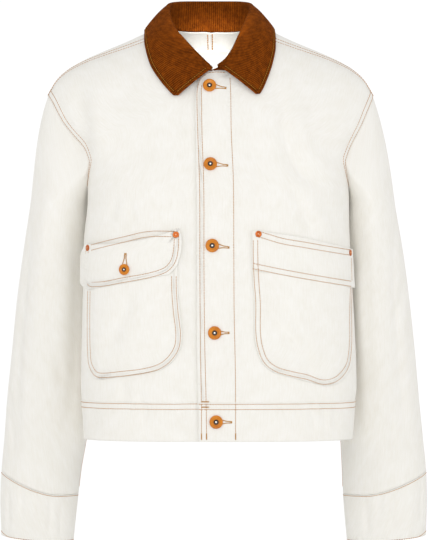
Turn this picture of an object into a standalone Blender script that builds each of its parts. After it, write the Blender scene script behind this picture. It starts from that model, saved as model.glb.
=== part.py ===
"""A white denim work jacket with a brown corduroy collar, filled out as if worn.

Sizes are in millimetres. x runs to the wearer's left, y to the back and z up, from the middle of the
neck opening at shoulder height. Sizes said to be seen are front-view sizes: they were read from a view
taken VIEW_DISTANCE in front of the jacket, level with EYE_HEIGHT, so a point nearer to the viewer is
really a little smaller and closer to that level than it looks.
"""

import math

import bpy
import numpy as np

MM = 0.001
SEAM_GAP = 0.3
DENIM = 1.5
CORDUROY = 2.4
VIEW_DISTANCE = 4000
VIEW_X = 5
EYE_HEIGHT = -322

# The body: level is the height, and from ARCH_BASE up it is a quarter turn over the shoulder, 0 at the
# ridge. Turn is the angle round the body in degrees, 0 at the front centre, 180 at the back centre, and
# negative on the wearer's right.
HEM = -556
HEM_SEAM = -507
ARMPIT = -213
ARCH_BASE = -165
SIDE_TURN = 105
FRONT_BOX = 0.25
BACK_NARROW = 0.14
BODY = {
    "level": (-556, -507, -484, -364, -280, -224, -190, -165, -120, -60, 0),
    "centre": (11, 11, 11.6, 10.4, 9, 11, 10, 8.5, 3, 1, 0),
    "half_width": (186, 189.5, 191.5, 188, 184.7, 181.6, 183.5, 192, 222, 241, 246),
    "middle": (-28, -28, -28, -28, -28, -27, -20, -13, -4, 0, 0),
    "front": (82, 85, 87, 90, 92, 94, 96, 97, 97, 97, 97),
    "back": (128, 131, 133, 136, 137, 136, 133, 130, 126, 126, 128),
}
SHOULDER = {
    "from_neck": (0, 70, 115, 168, 180, 201, 215, 223, 231, 250),
    "height": (43, 19.2, -1.6, -24, -29.8, -42.5, -56, -69, -84, -130),
}
# The seams that bound the body panels, as turn and level.
ARMHOLE_FRONT = {
    "turn": (105, 96, 86, 77, 70, 70.2, 69.8, 68.4, 68),
    "level": (-213, -212, -204, -188, -168, -145, -115, -60, 0),
}
ARMHOLE_BACK = {
    "turn": (105, 110, 114, 117, 119, 119, 118, 116, 112),
    "level": (-213, -211, -203, -188, -165, -140, -115, -60, 0),
}
NECKLINE_FRONT = {
    "turn": (0, 8, 12.5, 15.5, 16.6),
    "level": (-101, -97, -84, -56, 0),
}
NECKLINE_BACK = {
    "turn": (163.4, 165.5, 169, 174, 180),
    "level": (0, -24, -36, -45.5, -51),
}
# The wearer's left front laps over the right: its free edge, and the hidden edge under it.
PLACKET_EDGE = {
    "x": (-5, -13.5, -18.6, -20.8, -19.8, -18.2, -18.2, -16.2, -15.8),
    "level": (-101, -106, -115, -128, -150, -310, -418, -507, -556),
}
UNDER_EDGE = {"x": (24, 24, 26), "level": (-104, -165, -556)}
LAP_DROP = 2.7
LAP_FROM = -48
LAP_WIDTH = 18
ARMHOLE_GAP = 0.4

# The sleeves, seen from the front: outer and inner edge, then the depth of the middle and half the depth.
SLEEVE_TOP = -232
SLEEVE_RIGHT = {
    "height": (-232, -300, -364, -434, -504, -563, -604, -646, -690, -705),
    "outer": (-253.5, -264.5, -273.5, -281, -288.5, -293, -296.5, -298, -296.5, -296),
    "inner": (-169, -171, -168, -168, -171, -176.5, -183.5, -188, -192.5, -194),
    "depth": (21, 33, 41, 50, 56, 58, 57, 54, 50, 49),
    "half_depth": (65, 61, 57, 53, 48, 43, 39, 36, 33.5, 33),
}
SLEEVE_LEFT = {
    "height": (-232, -300, -364, -434, -504, -563, -604, -646, -690, -705),
    "outer": (260, 272.5, 281.5, 289.5, 296, 302, 306, 307.2, 305.5, 305),
    "inner": (189, 184, 180, 180, 181.5, 185, 187, 188.5, 192, 193.5),
    "depth": (23, 36, 45, 52, 57, 58, 57, 54, 50, 49),
    "half_depth": (65, 61, 57, 53, 48, 43, 39, 36, 33.5, 33),
}
CUFF_SEAM_OUTER = -607
CUFF_SEAM_DROP = 32
CUFF_HEM_OUTER = -697
CUFF_HEM_DROP = 6.5

# The collar, a station a row from its front end to the back of the neck: the fold line and the free edge.
# Its x and z are seen from the front.
COLLAR_RIGHT = {
    "fold_x": (3.2, -8, -21, -33.5, -45.5, -53.5, -57, -55.5, -45, -25, 0),
    "fold_y": (-88, -84, -76, -65, -50, -28, 4, 30, 51, 62, 65),
    "fold_z": (-37.5, -27, -14, -0.5, 13, 27, 44.5, 51.5, 53.8, 54.2, 54.2),
    "edge_x": (-48.5, -58, -71, -83.5, -90.5, -93, -91.5, -84, -66, -37, 0),
    "edge_z": (-79, -70, -54.5, -35, -13, 3, 14.5, 14, 9, 6, 5),
}
COLLAR_LEFT = {
    "fold_x": (10, 20, 28.5, 35.5, 42.5, 49.5, 55, 54, 44.5, 25, 0),
    "fold_y": (-88, -83, -75, -64, -50, -28, 4, 30, 51, 62, 65),
    "fold_z": (-34, -26, -14, 0, 15, 31, 45.5, 51.5, 53.8, 54.2, 54.2),
    "edge_x": (67, 73, 79, 86, 91, 91.5, 89.5, 82, 65, 37, 0),
    "edge_z": (-77, -68, -54.5, -35, -13, 3, 14.5, 14, 9, 6, 5),
}
FOLD_RADIUS = 3.6
COLLAR_LIFT = 1.8
NECK_GAP = 0.8
LEAF_BOW = 3

# The patch pockets, seen from the front: their two edges, a row a point down each.
POCKET = 1.2
POCKET_LIFT = 1.3
FLAP_LIFT = 4.2
BAND_LIFT = 3.4
POCKET_RIGHT = {
    "outer_x": (-172.5, -173.9, -174.2, -173.9, -171.9, -163.5, -151.3),
    "outer_z": (-290, -351.4, -394.8, -427, -456.4, -471.5, -474.9),
    "inner_x": (-45.5, -45.8, -42.7, -39.9, -42.1, -52.8, -68.5),
    "inner_z": (-268, -343, -380.5, -413.4, -431.2, -449.4, -461.4),
}
FLAP_RIGHT = {
    "outer_x": (-171.5, -178.5, -179.9, -179.9, -176.3, -167),
    "outer_z": (-285.6, -303.4, -316.4, -331.8, -343.4, -349.2),
    "inner_x": (-43.4, -39.9, -40.6, -42.9, -47.4, -57),
    "inner_z": (-264, -280.6, -294, -304, -317, -327.7),
}
POCKET_LEFT = {
    "outer_x": (197.4, 199.5, 200.2, 199.5, 198.9, 194.5, 179.9, 159.9),
    "outer_z": (-294, -316.4, -337.4, -380.8, -437.8, -460.6, -479.1, -484.4),
    "inner_x": (58.1, 58.9, 59.5, 61.5, 62.2, 65.8, 74.1, 89.9),
    "inner_z": (-267, -310.8, -337.4, -366.8, -415.8, -435.4, -453.6, -465.6),
}
BAND_LEFT = {
    "outer_x": (197.4, 199, 199.8),
    "outer_z": (-294, -320, -347),
    "inner_x": (58.1, 58.4, 58.9),
    "inner_z": (-267, -295, -322),
}
TOP_DIP_FLAP = 7
TOP_DIP_BAND = -4

# Buttons and rivets, seen from the front.
BUTTONS = {"x": (-1.3, -0.1, 2.5, 5.9, 8), "z": (-63.7, -173.6, -287.7, -410.1, -534.8)}
BUTTON_GAP = 0.4
BUTTON_RADIUS = 9.2
FLAP_BUTTON = (-120.5, -321.3)
FLAP_BUTTON_RADIUS = 7.6
BUTTON_PROFILE = ((0, 0), (1, 0), (0.97, 0.24), (0.8, 0.35), (0.52, 0.24), (0.24, 0.22), (0.2, 0.3), (0, 0.3))
RIVETS = {"x": (-171.9, -48.4, 67.3, 195.9), "z": (-291, -272.4, -271.6, -297.8)}
RIVET_RADIUS = 4.4
RIVET_PROFILE = ((0, 0), (1, 0), (0.94, 0.22), (0.6, 0.42), (0, 0.5))
LABEL_WIDTH = 46
LABEL_TOP = -70
LABEL_BOTTOM = -96
LABEL = 0.8
LABEL_GAP = 1.2

# Counts of the mesh's rows and columns.
SIDE_ROWS = 11
EDGE_ROWS = 4
CORNER_ROWS = 3
NECK_FRONT_ROWS = 6
NECK_BACK_ROWS = 4
ARM_ROWS = EDGE_ROWS + CORNER_ROWS + NECK_FRONT_ROWS
PANEL_COLUMNS = 11
CAP_RINGS = 4
SLEEVE_RINGS = 8
CUFF_RINGS = 3


def along(table, column, key, at):
    """A column of a table read at any value of its key column, along a smooth curve through the rows."""
    xs, ys = np.array(table[key], float), np.array(table[column], float)
    if xs[0] > xs[-1]:
        xs, ys = xs[::-1], ys[::-1]
    steps = np.diff(ys) / np.diff(xs)
    slopes = np.concatenate([steps[:1], (steps[1:] + steps[:-1]) / 2, steps[-1:]])
    turning = np.concatenate([[False], steps[1:] * steps[:-1] <= 0, [False]])
    slopes[turning] = 0
    at = np.clip(at, xs[0], xs[-1])
    i = np.clip(np.searchsorted(xs, at) - 1, 0, len(xs) - 2)
    width = xs[i + 1] - xs[i]
    t = (at - xs[i]) / width
    start, end = slopes[i] * width, slopes[i + 1] * width
    rise = ys[i + 1] - ys[i]
    return ys[i] + t * (start + t * (3 * rise - 2 * start - end + t * (start + end - 2 * rise)))


def rows_of(table, columns, count):
    """The named columns at count even steps along the table's rows."""
    numbered = dict(table, row=range(len(table[columns[0]])))
    at = np.linspace(0, numbered["row"][-1], count)
    return np.stack([along(numbered, name, "row", at) for name in columns], axis=-1)


def smooth(t):
    t = np.clip(t, 0, 1)
    return t * t * (3 - 2 * t)


def unit(v):
    return v / np.maximum(np.linalg.norm(v, axis=-1, keepdims=True), 1e-9)


# Soft folds of the body, from one place to another: x, z, x, z, half the width and the height outwards.
FOLDS = {
    "x0": (92, 96, -150, -60, 150, -120),
    "z0": (-178, -235, -120, -140, -150, -370),
    "x1": (185, 150, -128, -120, 120, -60),
    "z1": (-222, -300, -240, -210, -260, -480),
    "width": (24, 26, 26, 34, 30, 34),
    "height": (-3, -2.4, 3, -2, 2.4, -1.6),
}


def fold_height(x, z):
    """Each fold is a bell across its line that fades over the last quarter towards either end."""
    total = np.zeros(np.shape(x))
    for x0, z0, x1, z1, width, height in zip(*FOLDS.values()):
        length = math.hypot(x1 - x0, z1 - z0)
        run = ((x - x0) * (x1 - x0) + (z - z0) * (z1 - z0)) / length
        off = ((x - x0) * (z1 - z0) - (z - z0) * (x1 - x0)) / length
        ends = smooth(run / (0.3 * length) + 0.5) * smooth((length - run) / (0.3 * length) + 0.5)
        total = total + height * ends * np.exp(-((off / width) ** 2))
    return total


def body_form(turn, level):
    """The body without its folds. Its sections are ovals, boxy in front, round and narrower behind."""
    sine, cosine = np.sin(np.radians(turn)), np.cos(np.radians(turn))
    column = {name: along(BODY, name, "level", level) for name in list(BODY)[1:]}
    lift = np.radians(90) * np.clip(1 - level / ARCH_BASE, 0, 1)
    narrow = 1 - BACK_NARROW * np.maximum(-cosine, 0) ** 1.5 * np.cos(lift) ** 2
    x = column["centre"] + column["half_width"] * sine * narrow
    top = along(SHOULDER, "height", "from_neck", np.abs(x))
    z = np.where(level < ARCH_BASE, level, ARCH_BASE + (top - ARCH_BASE) * np.sin(lift))
    front = column["front"] * cosine * (1 + FRONT_BOX * sine**2)
    reach = np.where(cosine > 0, front, column["back"] * cosine)
    return np.stack([x, column["middle"] - reach * np.cos(lift), z], axis=-1)


def outward(surface, turn, level):
    """The unit normal of a surface of turn and level, from small steps along both."""
    across = surface(turn + 0.2, level) - surface(turn - 0.2, level)
    up = surface(turn, np.minimum(level + 0.5, 0)) - surface(turn, np.minimum(level + 0.5, 0) - 1)
    return unit(np.cross(across, up))


def body(turn, level):
    """The outer face of the body panels: the form moved out along its normal by the folds."""
    turn, level = np.broadcast_arrays(np.asarray(turn, float), np.asarray(level, float))
    form = body_form(turn, level)
    facing = smooth((100 - np.abs(turn)) / 25)
    height = facing * fold_height(form[..., 0], form[..., 2])
    return form + outward(body_form, turn, level) * height[..., None]


def place_at(x, z, behind=False, reach=0.9995):
    """Turn and level of the place on the front, or on the back, that has this x and z."""
    top = along(SHOULDER, "height", "from_neck", np.abs(x))
    lift = np.arcsin(np.clip((z - ARCH_BASE) / (top - ARCH_BASE), 0, 1))
    level = np.where(z < ARCH_BASE, z, ARCH_BASE * (1 - lift / np.radians(90)))
    side = (x - along(BODY, "centre", "level", level)) / along(BODY, "half_width", "level", level)
    turn = np.degrees(np.arcsin(np.clip(side, -reach, reach)))
    if not behind:
        return turn, level
    for _ in range(6):
        narrow = 1 - BACK_NARROW * np.cos(np.radians(turn)) ** 1.5 * np.cos(lift) ** 2
        turn = np.degrees(np.arcsin(np.clip(side / narrow, -0.9995, 0.9995)))
    return np.where(turn < 0, -180 - turn, 180 - turn), level


def seen_at(seen_x, seen_z, reach=0.9995):
    """Turn and level of the place on the front that is seen at these sizes."""
    seen_x, seen_z = np.asarray(seen_x, float), np.asarray(seen_z, float)
    depth = np.full(seen_x.shape, -90.0)
    for _ in range(5):
        scale = 1 + depth / VIEW_DISTANCE
        x = VIEW_X + (seen_x - VIEW_X) * scale
        z = EYE_HEIGHT + (seen_z - EYE_HEIGHT) * scale
        turn, level = place_at(x, z, False, reach)
        depth = body(turn, level)[..., 1]
    return turn, level


def unseen(seen_x, seen_z, y):
    """True places of what is seen from the front at these sizes, at a depth of y."""
    scale = 1 + y / VIEW_DISTANCE
    return np.stack([VIEW_X + (seen_x - VIEW_X) * scale, y, EYE_HEIGHT + (seen_z - EYE_HEIGHT) * scale], -1)


def laid_on(turn, level, out):
    """Points out from the body's face by this much."""
    return body(turn, level) + outward(body, turn, level) * np.asarray(out)[..., None]


def material(name, colour, roughness, metallic=0.0):
    made = bpy.data.materials.new(name)
    made.use_nodes = True
    shader = made.node_tree.nodes["Principled BSDF"]
    shader.inputs["Base Color"].default_value = (*colour, 1)
    shader.inputs["Roughness"].default_value = roughness
    shader.inputs["Metallic"].default_value = metallic
    return made


def piece(name, points, triangles, finish):
    """One named object from points in millimetres, its faces turned outwards."""
    points, triangles = np.asarray(points, float), np.asarray(triangles, int)
    corners = points[triangles]
    volume = np.einsum("ij,ij->i", corners[:, 0], np.cross(corners[:, 1], corners[:, 2])).sum()
    if volume < 0:
        triangles = triangles[:, ::-1]
    mesh = bpy.data.meshes.new(name)
    mesh.from_pydata((points * MM).tolist(), [], triangles.tolist())
    mesh.shade_smooth()
    mesh.set_sharp_from_angle(angle=math.radians(40))
    mesh.materials.append(finish)
    made = bpy.data.objects.new(name, mesh)
    bpy.context.scene.collection.objects.link(made)
    return made


def quads(a, b, c, d):
    return np.concatenate([np.stack([a, b, c], -1).reshape(-1, 3), np.stack([a, c, d], -1).reshape(-1, 3)])


def wall(name, outer, inner, finish, tube=False):
    """A sheet with a thickness from its two faces, (rows, columns, 3) each. A tube closes on itself."""
    rows, columns = outer.shape[:2]
    ids = np.arange(rows * columns).reshape(rows, columns)
    if tube:
        ids = np.concatenate([ids, ids[:, :1]], axis=1)
    under = ids + rows * columns
    faces = [
        quads(ids[:-1, :-1], ids[:-1, 1:], ids[1:, 1:], ids[1:, :-1]),
        quads(under[:-1, :-1], under[:-1, 1:], under[1:, 1:], under[1:, :-1])[:, ::-1],
        quads(ids[0, 1:], ids[0, :-1], under[0, :-1], under[0, 1:]),
        quads(ids[-1, :-1], ids[-1, 1:], under[-1, 1:], under[-1, :-1]),
    ]
    if not tube:
        faces.append(quads(ids[:-1, 0], ids[1:, 0], under[1:, 0], under[:-1, 0]))
        faces.append(quads(ids[1:, -1], ids[:-1, -1], under[:-1, -1], under[1:, -1]))
    points = np.concatenate([outer.reshape(-1, 3), inner.reshape(-1, 3)])
    return piece(name, points, np.concatenate(faces), finish)


def between(left, right, bottom, top):
    """A grid between four edges, which it meets exactly (a Coons patch)."""
    v = np.linspace(0, 1, len(left))[:, None, None]
    u = np.linspace(0, 1, len(bottom))[None, :, None]
    sides = (1 - u) * left[:, None] + u * right[:, None]
    ends = (1 - v) * bottom[None] + v * top[None]
    low = (1 - u) * bottom[0] + u * bottom[-1]
    high = (1 - u) * top[0] + u * top[-1]
    return sides + ends - (1 - v) * low - v * high


def even_turns(first, last, level, count):
    """Turns from first to last at one level, the same length of cloth apart."""
    turn = np.linspace(first, last, 81)
    run = np.linalg.norm(np.diff(body_form(turn, np.full(81, float(level))), axis=0), axis=1)
    run = np.concatenate([[0], np.cumsum(run)])
    return np.interp(np.linspace(0, run[-1], count + 1), run, turn)


def inset(points, axis, first=True, last=True):
    """The first or last row or column drawn in by half the gap of a seam."""
    points = np.moveaxis(points, axis, 0).copy()
    if first:
        points[0] += unit(points[1] - points[0]) * SEAM_GAP * 0.6
    if last:
        points[-1] += unit(points[-2] - points[-1]) * SEAM_GAP * 0.6
    return np.moveaxis(points, 0, axis)


def panel_grid(side, front):
    """Turn and level over a body panel. Rows run from its centre edge, then its neckline, to the side seam,
    then the armhole; columns run from the hem seam to the shoulder seam."""
    armhole = rows_of(ARMHOLE_FRONT if front else ARMHOLE_BACK, ("turn", "level"), ARM_ROWS + 1)
    levels = np.linspace(HEM_SEAM, ARMPIT, SIDE_ROWS + 1)[:-1]
    outer = np.concatenate([np.stack([np.full(SIDE_ROWS, SIDE_TURN), levels], -1), armhole])
    if front:
        edge = PLACKET_EDGE if side > 0 else UNDER_EDGE
        corner = edge["level"][3 if side > 0 else 0] - 6
        levels = np.concatenate([levels, np.linspace(ARMPIT, corner, EDGE_ROWS + 1)[:-1]])
        levels = np.concatenate([levels, np.linspace(corner, edge["level"][0], CORNER_ROWS)])
        turns = side * place_turn(along(edge, "x", "level", levels), levels)
        neck = rows_of(NECKLINE_FRONT, ("turn", "level"), NECK_FRONT_ROWS + 1)
    else:
        rows = ARM_ROWS - NECK_BACK_ROWS
        levels = np.concatenate([levels, np.linspace(ARMPIT, NECKLINE_BACK["level"][-1], rows + 1)[:-1]])
        turns = np.full(len(levels), 180.0)
        neck = rows_of(NECKLINE_BACK, ("turn", "level"), NECK_BACK_ROWS + 1)[::-1]
    inner = np.concatenate([np.stack([turns, levels], -1), neck])
    ends = []
    for i, level in ((0, HEM_SEAM), (-1, 0)):
        turns = even_turns(inner[i, 0], outer[i, 0], level, PANEL_COLUMNS)
        ends.append(np.stack([turns, np.full(len(turns), float(level))], -1))
    return between(inner, outer, *ends) * (side, 1)


def place_turn(x, level):
    """The turn on the front at which a level has this x."""
    side = (x - along(BODY, "centre", "level", level)) / along(BODY, "half_width", "level", level)
    return np.degrees(np.arcsin(side))


def lap_drop(side, points):
    """How far the wearer's right front lies in, under the left one."""
    if side > 0:
        return np.zeros(points.shape[:-1])
    return LAP_DROP * smooth((points[..., 0] - LAP_FROM) / LAP_WIDTH)


def panel_faces(grid, side, front):
    """Outer points and unit normals of a body panel."""
    turn, level = grid[..., 0], grid[..., 1]
    outer, normal = body(turn, level), outward(body, turn, level)
    if front:
        outer = outer - normal * lap_drop(side, outer)[..., None]
    return outer, normal


def sleeve_form(table, angle, height):
    """The sleeve below the armpit: ovals between its outer and inner edge. Angle 0 is the outer side."""
    column = {name: along(table, name, "height", height) for name in list(table)[1:]}
    middle = (column["outer"] + column["inner"]) / 2
    half = (column["outer"] - column["inner"]) / 2
    x = middle + half * np.cos(angle)
    y = column["depth"] - column["half_depth"] * np.sin(angle)
    return np.stack([x, y, np.broadcast_to(height, x.shape)], axis=-1)


def cuff_heights(angle):
    """The cuff's seam and hem: both run lower towards the inner side of the wrist."""
    round_way = np.minimum(angle, 2 * np.pi - angle)
    fall = smooth(round_way / np.radians(122))
    return CUFF_SEAM_OUTER - CUFF_SEAM_DROP * fall, CUFF_HEM_OUTER - CUFF_HEM_DROP * fall


SLEEVE_FOLDS = {
    "height": (-250, -300, -345, -395, -450, -520),
    "tilt": (60, -50, 45, -40, 60, -50),
    "angle": (100, 70, 120, 60, 100, 80),
    "out": (2.5, -2.5, 2.5, -2, 2, -1.5),
}


def sleeve_folds(angle, height):
    """Slanting folds across the sleeve: each rises towards one side and fades round the arm."""
    total = np.zeros(np.shape(angle))
    for z, tilt, middle, out in zip(*SLEEVE_FOLDS.values()):
        from_middle = np.degrees(angle) - middle
        line = z + tilt * np.sin(np.radians(from_middle))
        total = total + out * np.exp(-(((height - line) / 20) ** 2) - (from_middle / 60) ** 2)
    return total


def sleeve_grid(table, loop, side):
    """Rings from the armhole's loop to the cuff's hem. The cap's lines leave the loop outwards and down."""
    angle = np.linspace(0, 2 * np.pi, len(loop), endpoint=False)
    top = sleeve_form(table, angle, np.full(len(loop), float(SLEEVE_TOP)))
    reach = np.linalg.norm(top - loop, axis=-1, keepdims=True)
    leave = unit(np.array([side * 0.34, 0.0, -0.93])) * reach
    arrive = unit(np.array([side * 0.13, 0.06, -1.0])) * reach * 0.9
    v = np.linspace(0, 1, CAP_RINGS + 1)[:-1, None, None]
    rings = [
        loop * (1 - 3 * v**2 + 2 * v**3)
        + top * (3 * v**2 - 2 * v**3)
        + leave * (v - 2 * v**2 + v**3)
        + arrive * (v**3 - v**2)
    ]
    seam, hem = cuff_heights(angle)
    for start, end, count in ((SLEEVE_TOP, seam, SLEEVE_RINGS), (seam, hem, CUFF_RINGS)):
        steps = np.linspace(0, 1, count + 1)[:, None]
        if count == CUFF_RINGS:
            steps = steps[1:]
        heights = start + (end - start) * steps
        angles = np.broadcast_to(angle, heights.shape)
        points = sleeve_form(table, angles, heights)
        centre = sleeve_form(table, angles + np.pi, heights) / 2 + points / 2
        points = points + unit(points - centre) * sleeve_folds(angles, heights)[..., None]
        rings.append(points)
    return np.concatenate(rings)


def ring_normals(points):
    """Outward unit normals of a tube's grid."""
    around = np.roll(points, -1, axis=1) - np.roll(points, 1, axis=1)
    down = np.gradient(points, axis=0)
    normal = unit(np.cross(around, down))
    middle = points.mean(axis=1, keepdims=True)
    facing = np.sum(normal * (points - middle), axis=-1)[len(points) // 2 :].mean()
    return normal if facing > 0 else -normal


def clear_scene():
    for found in list(bpy.data.objects):
        bpy.data.objects.remove(found)


def make_body(finish):
    """The four body panels and the two sleeves, which share the armhole's loops."""
    for side, name, table in ((-1, "right", SLEEVE_RIGHT), (1, "left", SLEEVE_LEFT)):
        grids = {front: panel_grid(side, front) for front in (True, False)}
        faces = {front: panel_faces(grids[front], side, front) for front in (True, False)}
        front_loop = faces[True][0][SIDE_ROWS:, -1][::-1]
        back_loop = faces[False][0][SIDE_ROWS:, -1]
        loop = np.concatenate([front_loop, back_loop[1:-1]]) + (side * ARMHOLE_GAP, 0, -0.2)
        tube = sleeve_grid(table, loop, side)
        tube_normal = ring_normals(tube)
        panel_normal = np.concatenate([faces[True][1][SIDE_ROWS:, -1][::-1], faces[False][1][SIDE_ROWS:, -1][1:-1]])
        mitre = panel_normal + tube_normal[0]
        length = np.linalg.norm(mitre, axis=-1, keepdims=True)
        mitre = unit(mitre) * np.minimum(2 / np.maximum(length, 1e-6), 1.5)
        tube_normal[0] = mitre
        split = CAP_RINGS + SLEEVE_RINGS + 1
        for part, rows in (("sleeve", slice(0, split)), ("cuff", slice(split - 1, None))):
            outer = tube[rows]
            inner = outer - tube_normal[rows] * DENIM
            last = part == "sleeve"
            wall(f"{part}_{name}", inset(outer, 0, True, last), inset(inner, 0, True, last), finish, tube=True)
        for front, label in ((True, "front"), (False, "back")):
            outer, normal = faces[front]
            loop_part = mitre[: ARM_ROWS + 1][::-1] if front else np.concatenate([mitre[ARM_ROWS:], mitre[:1]])
            normal = normal.copy()
            normal[SIDE_ROWS:, -1] = loop_part
            inner = outer - normal * DENIM
            drawn = [inset(inset(f, 0), 1, not front, True) for f in (outer, inner)]
            wall(f"{label}_{name}", *drawn, finish)


def make_hem(finish):
    """The hem band, in two front pieces and one behind."""
    levels = np.array([HEM, (HEM + HEM_SEAM) / 2, HEM_SEAM], float)[:, None]
    back = np.concatenate([panel_grid(-1, False)[0, ::-1, 0], panel_grid(1, False)[0, 1:, 0] - 360])
    for name, side, turns in (
        ("hem_band_right", -1, panel_grid(-1, True)[0, :, 0]),
        ("hem_band_left", 1, panel_grid(1, True)[0, :, 0]),
        ("hem_band_back", 0, back),
    ):
        turn = np.broadcast_to(turns, (3, len(turns)))
        if not side:
            turn = np.where(turn < -180, turn + 360, turn)
        level = np.broadcast_to(levels, turn.shape)
        outer, normal = body(turn, level), outward(body, turn, level)
        if side:
            outer = outer - normal * lap_drop(side, outer)[..., None]
        inner = outer - normal * DENIM
        drawn = [inset(inset(f, 0, False, True), 1, not side, True) for f in (outer, inner)]
        wall(name, *drawn, finish)


def collar_side(table, side):
    """Stations of one half of the collar, from its front end to the back: neck seam, fold, free edge."""
    front = rows_of(NECKLINE_FRONT, ("turn", "level"), NECK_FRONT_ROWS + 1)
    back = rows_of(NECKLINE_BACK, ("turn", "level"), NECK_BACK_ROWS + 1)
    neck = np.concatenate([front, back[1:]])
    seam = body(side * neck[:, 0], neck[:, 1]) + (0, 0, NECK_GAP)
    fold = rows_of(table, ("fold_x", "fold_z", "fold_y"), len(neck))
    edge = rows_of(table, ("edge_x", "edge_z"), len(neck))
    behind = np.arange(len(neck)) > NECK_FRONT_ROWS
    clear = np.full(len(neck), COLLAR_LIFT + CORDUROY)
    x, z = edge[:, 0], edge[:, 1]
    for _ in range(6):
        turn, level = (np.where(behind, b, f) for b, f in zip(place_at(x, z, True), place_at(x, z)))
        point = laid_on(turn, level, clear)
        target = unseen(edge[:, 0], edge[:, 1], point[:, 1])
        x, z = x + target[:, 0] - point[:, 0], z + target[:, 2] - point[:, 2]
    return seam, unseen(*fold.T), target


def make_collar(finish):
    """One folded strip: up from the neck seam, over the fold and down the leaf to its free edge."""
    right, left = collar_side(COLLAR_RIGHT, -1), collar_side(COLLAR_LEFT, 1)
    seam, fold, edge = (np.concatenate([r, l[-2::-1]]) for r, l in zip(right, left))
    tangent = unit(np.gradient(fold, axis=0))
    upward = fold - (seam + edge) / 2
    upward = unit(upward - tangent * np.sum(upward * tangent, -1, keepdims=True))
    out = unit(np.cross(upward, tangent))
    out = np.where(np.sum(out * (edge - seam), -1, keepdims=True) < 0, -out, out)
    height = np.linalg.norm(fold - seam, axis=-1, keepdims=True)
    radius = np.minimum(FOLD_RADIUS, height * 0.45)
    middle = fold - upward * radius
    hang = edge - middle - out * radius
    leaf_out = unit(out - hang * np.sum(out * hang, -1, keepdims=True) / np.sum(hang * hang, -1, keepdims=True))
    faces = []
    for shift in (0, -CORDUROY):
        angles = np.radians((0, 45, 90, 135, 180))
        bend = [middle + (upward * math.sin(a) - out * math.cos(a)) * (radius + shift) for a in angles]
        foot = seam - out * (0 if shift else CORDUROY) * (1, 1, 0)
        stand = [foot + (bend[0] - foot) * t for t in (0, 0.5)]
        end = edge + leaf_out * shift
        leaf = [
            bend[-1] + (end - bend[-1]) * t + leaf_out * LEAF_BOW * 4 * t * (1 - t)
            for t in (0.25, 0.5, 0.75, 1)
        ]
        faces.append(np.stack(stand + bend + leaf, axis=0))
    wall("collar", *faces, finish)


def make_patch(name, table, out, columns, rows, dip, reach, finish):
    """A piece laid on a front, between its two seen edges. Dip lowers the middle of its first row."""
    outer = rows_of(table, ("outer_x", "outer_z"), rows)
    inner = rows_of(table, ("inner_x", "inner_z"), rows)
    ends = [np.sin(np.radians(seen_at(side[:, 0], side[:, 1], reach)[0]))[:, None] for side in (outer, inner)]
    turned = [np.degrees(np.arcsin(end)) for end in ends]
    sine = np.sin(np.radians(turned[0] + (turned[1] - turned[0]) * np.linspace(0, 1, columns)))
    u = ((sine - ends[0]) / (ends[1] - ends[0]))[..., None]
    seen = outer[:, None] * (1 - u) + inner[:, None] * u
    fade = np.linspace(1, 0, rows)[:, None]
    seen[..., 1] -= dip * 4 * (u * (1 - u))[..., 0] * fade
    turn, level = seen_at(seen[..., 0], seen[..., 1], reach)
    inner_face = laid_on(turn, level, np.full(turn.shape, out))
    outer_face = laid_on(turn, level, np.full(turn.shape, out + POCKET))
    return wall(name, outer_face, inner_face, finish)


def make_turned(name, seen_x, seen_z, out, radius, profile, steps, finish):
    """A round piece turned from a profile of radius and height, standing on the cloth."""
    turn, level = seen_at(np.array(seen_x), np.array(seen_z))
    axis = outward(body, turn, level)
    foot = body(turn, level) + axis * out
    aside = unit(np.cross(axis, (0, 0, 1)))
    up = np.cross(aside, axis)
    angle = np.linspace(0, 2 * np.pi, steps, endpoint=False)
    profile = np.array(profile) * radius
    ring = np.cos(angle)[:, None] * aside + np.sin(angle)[:, None] * up
    rows = [foot + ring * r + axis * h for r, h in profile[1:-1]]
    points = np.concatenate(rows + [[foot + axis * profile[0, 1]], [foot + axis * profile[-1, 1]]])
    ids = np.arange(len(rows) * steps).reshape(len(rows), steps)
    ids = np.concatenate([ids, ids[:, :1]], axis=1)
    low, high = len(points) - 2, len(points) - 1
    faces = [quads(ids[:-1, :-1], ids[:-1, 1:], ids[1:, 1:], ids[1:, :-1])]
    faces.append([(low, ids[0, i + 1], ids[0, i]) for i in range(steps)])
    faces.append([(high, ids[-1, i], ids[-1, i + 1]) for i in range(steps)])
    return piece(name, points, np.concatenate(faces), finish)


def make_label(finish):
    """The bare woven label inside the back, under the neck seam."""
    half = math.degrees(math.asin(LABEL_WIDTH / 2 / 230))
    turn, level = np.meshgrid(180 - np.linspace(-half, half, 5), np.linspace(LABEL_BOTTOM, LABEL_TOP, 4))
    turn = np.where(turn > 180, turn - 360, turn)
    depths = (DENIM + LABEL_GAP, DENIM + LABEL_GAP + LABEL)
    faces = [laid_on(turn, level, np.full(turn.shape, -depth)) for depth in depths]
    wall("label", *faces, finish)


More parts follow.
